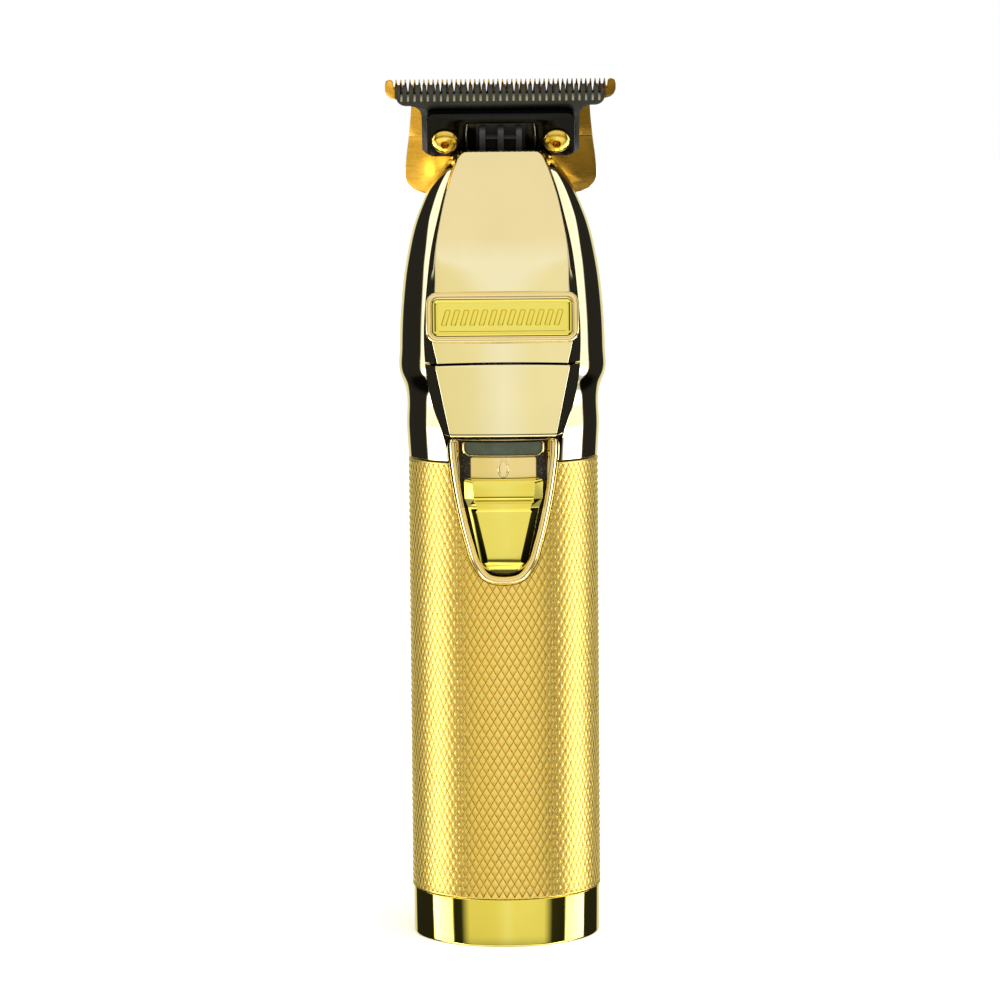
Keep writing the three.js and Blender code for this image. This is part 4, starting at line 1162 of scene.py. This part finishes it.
def screws():
    for side, label in ((-1, "left"), (1, "right")):
        seat = TENSION["high"] + 0.1
        piece = domed_screw(f"tension_screw_{label}", BLADE_SCREW, seat - BLADE_SCREW["tip"])
        place = Matrix.Translation((side * BLADE_SCREW["x"], BLADE_SCREW["v"], seat))
        finished(on_blade(move(piece, place)), "screw_gold", f"blade_screw_{label}")
        piece = domed_screw(f"seat_screw_{label}", MOUNT_SCREW, 4.8)
        place = Matrix.Translation((side * MOUNT_SCREW["x"], MOUNT_SCREW["v"], -FIXED["thickness"] - 0.1))
        finished(on_blade(move(piece, place @ Matrix.Rotation(math.pi, 4, "X"))),
                 "screw_gold", f"mount_screw_{label}")


def tube(name, points, radius, count=60, segments=12):
    """A round wire along a smooth line, with closed ends."""
    line = spline(points, count)
    along = np.gradient(line, axis=0)
    loops = []
    for point, direction in zip(line, along):
        direction = unit(direction)
        side = unit(np.cross(direction, (1.0, 0.05, 0)))
        up = np.cross(direction, side)
        loops.append(np.array([
            point + radius * (math.cos(t) * side + math.sin(t) * up)
            for t in np.linspace(0, 2 * np.pi, segments, endpoint=False)
        ]))
    return loft(name, loops)


def springs():
    for side, label in ((-1, "left"), (1, "right")):
        x, hook, top = side * SPRING["x"], side * SPRING["hook"], TENSION["notch_top"] - 0.65
        points = [
            (x - hook, top - 0.45, 1.95), (x - hook * 0.3, top, 2.3), (x, top - 0.75, 2.6),
            (x, -13, 2.7), (x, -17.3, 3.1), (x + side, -19.4, 4.8),
        ]
        wire = tube(f"spring_wire_{label}", points, SPRING["radius"])
        finished(on_blade(wire), "steel", f"tension_spring_{label}")


def blade_yoke():
    low, high = TENSION["low"], TENSION["high"]
    plate_half, top, bottom, at = YOKE["plate"], YOKE["top"], YOKE["bottom"], YOKE["bar"]
    arm = slab("yoke_arm", (-plate_half, bottom, low), (plate_half, top, low + 0.5))
    on_blade(join(arm, slab("inner_arm", (-plate_half, bottom, low), (plate_half, -16.4, high))))
    slot_half, reach = 2 * STROKE + 1.75, STROKE + 1.8
    drive = slab("drive", (-4.8, -3.4, 139), (4.8, 5, 146.2))
    slot = slab("slot", (-slot_half, -reach, 138), (slot_half, reach, 145.4))
    behind = blade_slab(-30, 30, -30, low)
    body = cut(join(arm, drive), slot, behind)
    finished(bevelled(body, 0.15, 3), "black_plastic", "blade_yoke", body="cutter")
    bar = slab("yoke_ribs", (RIBS["x"][0], at - 0.1, low + 0.3), (RIBS["x"][-1], at + 0.1, high + 0.2))
    half, rib_top = RIBS["half"], high + RIBS["rise"]
    for x in RIBS["x"]:
        join(bar, slab("rib", (x - half, RIBS["bottom"], low + 0.45), (x + half, RIBS["top"], rib_top)))
    settle(on_blade(bevelled(bar, 0.08, 2)), "cutter", RIB_GREY)


def carried_over():
    """Every CAD node that still shows gets its slot's procedural material."""
    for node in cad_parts.values():
        slot = node.data.materials[0].name
        node.data.materials[0] = FINISHES[slot]


# ---------- studio ----------
# Brightness of the studio by its bearing from the front, in degrees: a wide pale front,
# a dark flag and a white strip light on each side, and a soft fill from behind.
# Each stop is (bearing, brightness, warmth).
LEFT_BANDS = [
    (0, 1.0, 0.1), (12, 0.93, 0.8), (27, 0.9, 0.95), (47, 0.9, 0.9), (58, 0.03, 0), (69, 0.02, 0),
    (71.5, 1.2, 0.1), (102.5, 1.4, 0), (105, 0.02, 0), (151, 0.02, 0), (153.5, 0.78, 0.9), (180, 0.95, 0.5),
]
RIGHT_BANDS = [
    (0, 1.0, 0.1), (12, 0.96, 0.7), (27, 0.95, 0.6), (47, 0.92, 0.7), (58, 0.03, 0), (76, 0.02, 0),
    (78.5, 1.2, 0.1), (110, 1.4, 0), (112.5, 0.02, 0), (151, 0.02, 0), (153.5, 0.78, 0.9), (180, 0.95, 0.5),
]
WARMTH = (0, 0.07, 0.42)
# Its brightness by height above the horizon, in degrees: a bright floor with a dark edge.
HEIGHT_BANDS = [
    (-90, 0.9, 0), (-62, 0.95, 0), (-50, 1.6, 0), (-36, 1.6, 0), (-30, 0.1, 0), (-22, 0.15, 0),
    (-16, 0.95, 0), (-8, 1, 0), (90, 1, 0),
]
PEAK = 1.6
# Lights brighter than 1 get a stronger foot, between two heights below the horizon.
STRIP_FOOT = {"from": -4, "to": -8, "gain": 7.5}
# The middle of the front is tinted overhead, from a low to a high height, over a width.
CEILING = {"low": 20, "high": 50, "width": 34, "tint": (0.95, 0.88, 0.74)}
# The bands lean in towards the front overhead, by this much times the height squared.
LEAN = 0.045
CAMERA = {"lens": 150.7, "place": (-0.00068, -0.785, 0.1635), "aim": (-0.00068, 0, 0.0820), "roll": -0.47}


def band_ramp(tree, angle, bands):
    """Light along an angle in degrees, as a share of PEAK."""
    start, end = bands[0][0], bands[-1][0]
    ramp = tree.nodes.new("ShaderNodeValToRGB")
    elements = ramp.color_ramp.elements
    while len(elements) < len(bands):
        elements.new(0.5)
    for element, (at, level, warmth) in zip(elements, bands):
        element.position = (at - start) / (end - start)
        element.color = (*(level / PEAK * (1 - warmth * part) for part in WARMTH), 1)
    along = math_node(tree, "DIVIDE", math_node(tree, "SUBTRACT", angle, start), end - start)
    tree.links.new(along, ramp.inputs["Fac"])
    return ramp.outputs["Color"]


def share_between(tree, value, start, end):
    """0 at start and 1 at end, and held at those beyond them."""
    share = math_node(tree, "DIVIDE", math_node(tree, "SUBTRACT", value, start), end - start)
    return math_node(tree, "MINIMUM", math_node(tree, "MAXIMUM", share, 0), 1)


def studio_angles(tree):
    """Which side a ray goes to, its leaning bearing from the front and its height, in degrees."""
    direction = tree.nodes.new("ShaderNodeTexCoord").outputs["Generated"]
    axes = tree.nodes.new("ShaderNodeSeparateXYZ")
    tree.links.new(direction, axes.inputs[0])
    x, y, z = axes.outputs
    bearing = math_node(tree, "ABSOLUTE", math_node(tree, "ARCTAN2", x, math_node(tree, "MULTIPLY", y, -1)))
    bearing = math_node(tree, "MULTIPLY", bearing, 180 / math.pi)
    height = math_node(tree, "MULTIPLY", math_node(tree, "ARCSINE", z), 180 / math.pi)
    above = math_node(tree, "MAXIMUM", height, 0)
    lean = math_node(tree, "MULTIPLY", math_node(tree, "MULTIPLY", above, above), LEAN)
    bearing = math_node(tree, "MAXIMUM", math_node(tree, "SUBTRACT", bearing, lean), 0)
    return math_node(tree, "GREATER_THAN", x, 0), bearing, height


def room_light(tree):
    """The studio that the piece reflects."""
    on_right, bearing, height = studio_angles(tree)
    left, right = (band_ramp(tree, bearing, bands) for bands in (LEFT_BANDS, RIGHT_BANDS))
    bands = mix_node(tree, on_right, left, right)
    up = share_between(tree, height, CEILING["low"], CEILING["high"])
    middle = share_between(tree, bearing, CEILING["width"], 0)
    overhead = math_node(tree, "MULTIPLY", up, middle)
    strip = math_node(tree, "MULTIPLY", math_node(tree, "SUBTRACT", bands, 1 / PEAK), PEAK)
    below = share_between(tree, height, STRIP_FOOT["from"], STRIP_FOOT["to"])
    boost = math_node(tree, "MULTIPLY", math_node(tree, "MAXIMUM", strip, 0), below)
    boost = math_node(tree, "MULTIPLY_ADD", boost, STRIP_FOOT["gain"], 1)
    by_height = math_node(tree, "MULTIPLY", band_ramp(tree, height, HEIGHT_BANDS), PEAK * PEAK)
    room = tree.nodes.new("ShaderNodeBackground")
    tree.links.new(mix_node(tree, overhead, bands, CEILING["tint"], "MULTIPLY"), room.inputs["Color"])
    tree.links.new(math_node(tree, "MULTIPLY", by_height, boost), room.inputs["Strength"])
    return room.outputs[0]


def studio_light():
    """The room for reflections and light, and a plain white backdrop for the camera."""
    world = bpy.data.worlds.new("studio")
    bpy.context.scene.world = world
    world.use_nodes = True
    tree = world.node_tree
    tree.nodes.clear()
    backdrop = tree.nodes.new("ShaderNodeBackground")
    backdrop.inputs["Color"].default_value = (1, 1, 1, 1)
    choose = tree.nodes.new("ShaderNodeMixShader")
    camera_ray = tree.nodes.new("ShaderNodeLightPath").outputs["Is Camera Ray"]
    tree.links.new(camera_ray, choose.inputs["Fac"])
    tree.links.new(room_light(tree), choose.inputs[1])
    tree.links.new(backdrop.outputs[0], choose.inputs[2])
    output = tree.nodes.new("ShaderNodeOutputWorld")
    tree.links.new(choose.outputs[0], output.inputs["Surface"])


def overhead_light():
    lamp = bpy.data.lights.new("overhead", "SUN")
    lamp.energy = 1.6
    lamp.angle = math.radians(60)
    light = bpy.data.objects.new("overhead", lamp)
    light.rotation_euler = (math.radians(18), math.radians(12), 0)
    light.visible_glossy = False
    bpy.context.scene.collection.objects.link(light)


def studio_floor():
    piece = plate("floor", [(x / MM, y / MM) for x, y, _ in circle(6.0, 0, 96)], -20, -0.02)
    piece.data.transform(Matrix.Scale(MM, 4))
    made = Surface("pale_floor", roughness=0.9, emission_strength=0.3)
    made.shader.inputs["Emission Color"].default_value = (1, 1, 1, 1)
    made.shader.inputs["Specular IOR Level"].default_value = 0.0
    made.colors(made.noise((0.02, 0.02, 0.02)), [(0.3, (0.86, 0.86, 0.86)), (0.7, (0.88, 0.88, 0.88))])
    piece.data.materials.append(made.material)
    piece.visible_glossy = False


def studio_camera():
    data = bpy.data.cameras.new("camera")
    data.sensor_width = 36
    data.lens = CAMERA["lens"]
    data.clip_start, data.clip_end = 0.05, 50
    camera = bpy.data.objects.new("camera", data)
    camera.location = CAMERA["place"]
    aim = Vector(CAMERA["aim"]) - camera.location
    roll = Quaternion((0, 0, 1), math.radians(CAMERA["roll"]))
    camera.rotation_mode = "QUATERNION"
    camera.rotation_quaternion = aim.to_track_quat("-Z", "Y") @ roll
    bpy.context.scene.collection.objects.link(camera)
    bpy.context.scene.camera = camera


studio_camera()
studio_light()
overhead_light()
studio_floor()
bpy.context.scene.view_settings.view_transform = "Standard"
carried_over()
end_cap()
grip_sleeve()
head_covers()
lower_panel()
badge()
switch_fascia()
indicator_window()
off_mark()
slider_body()
fixed_blade()
moving_blade()
tension_plate()
screws()
springs()
blade_yoke()
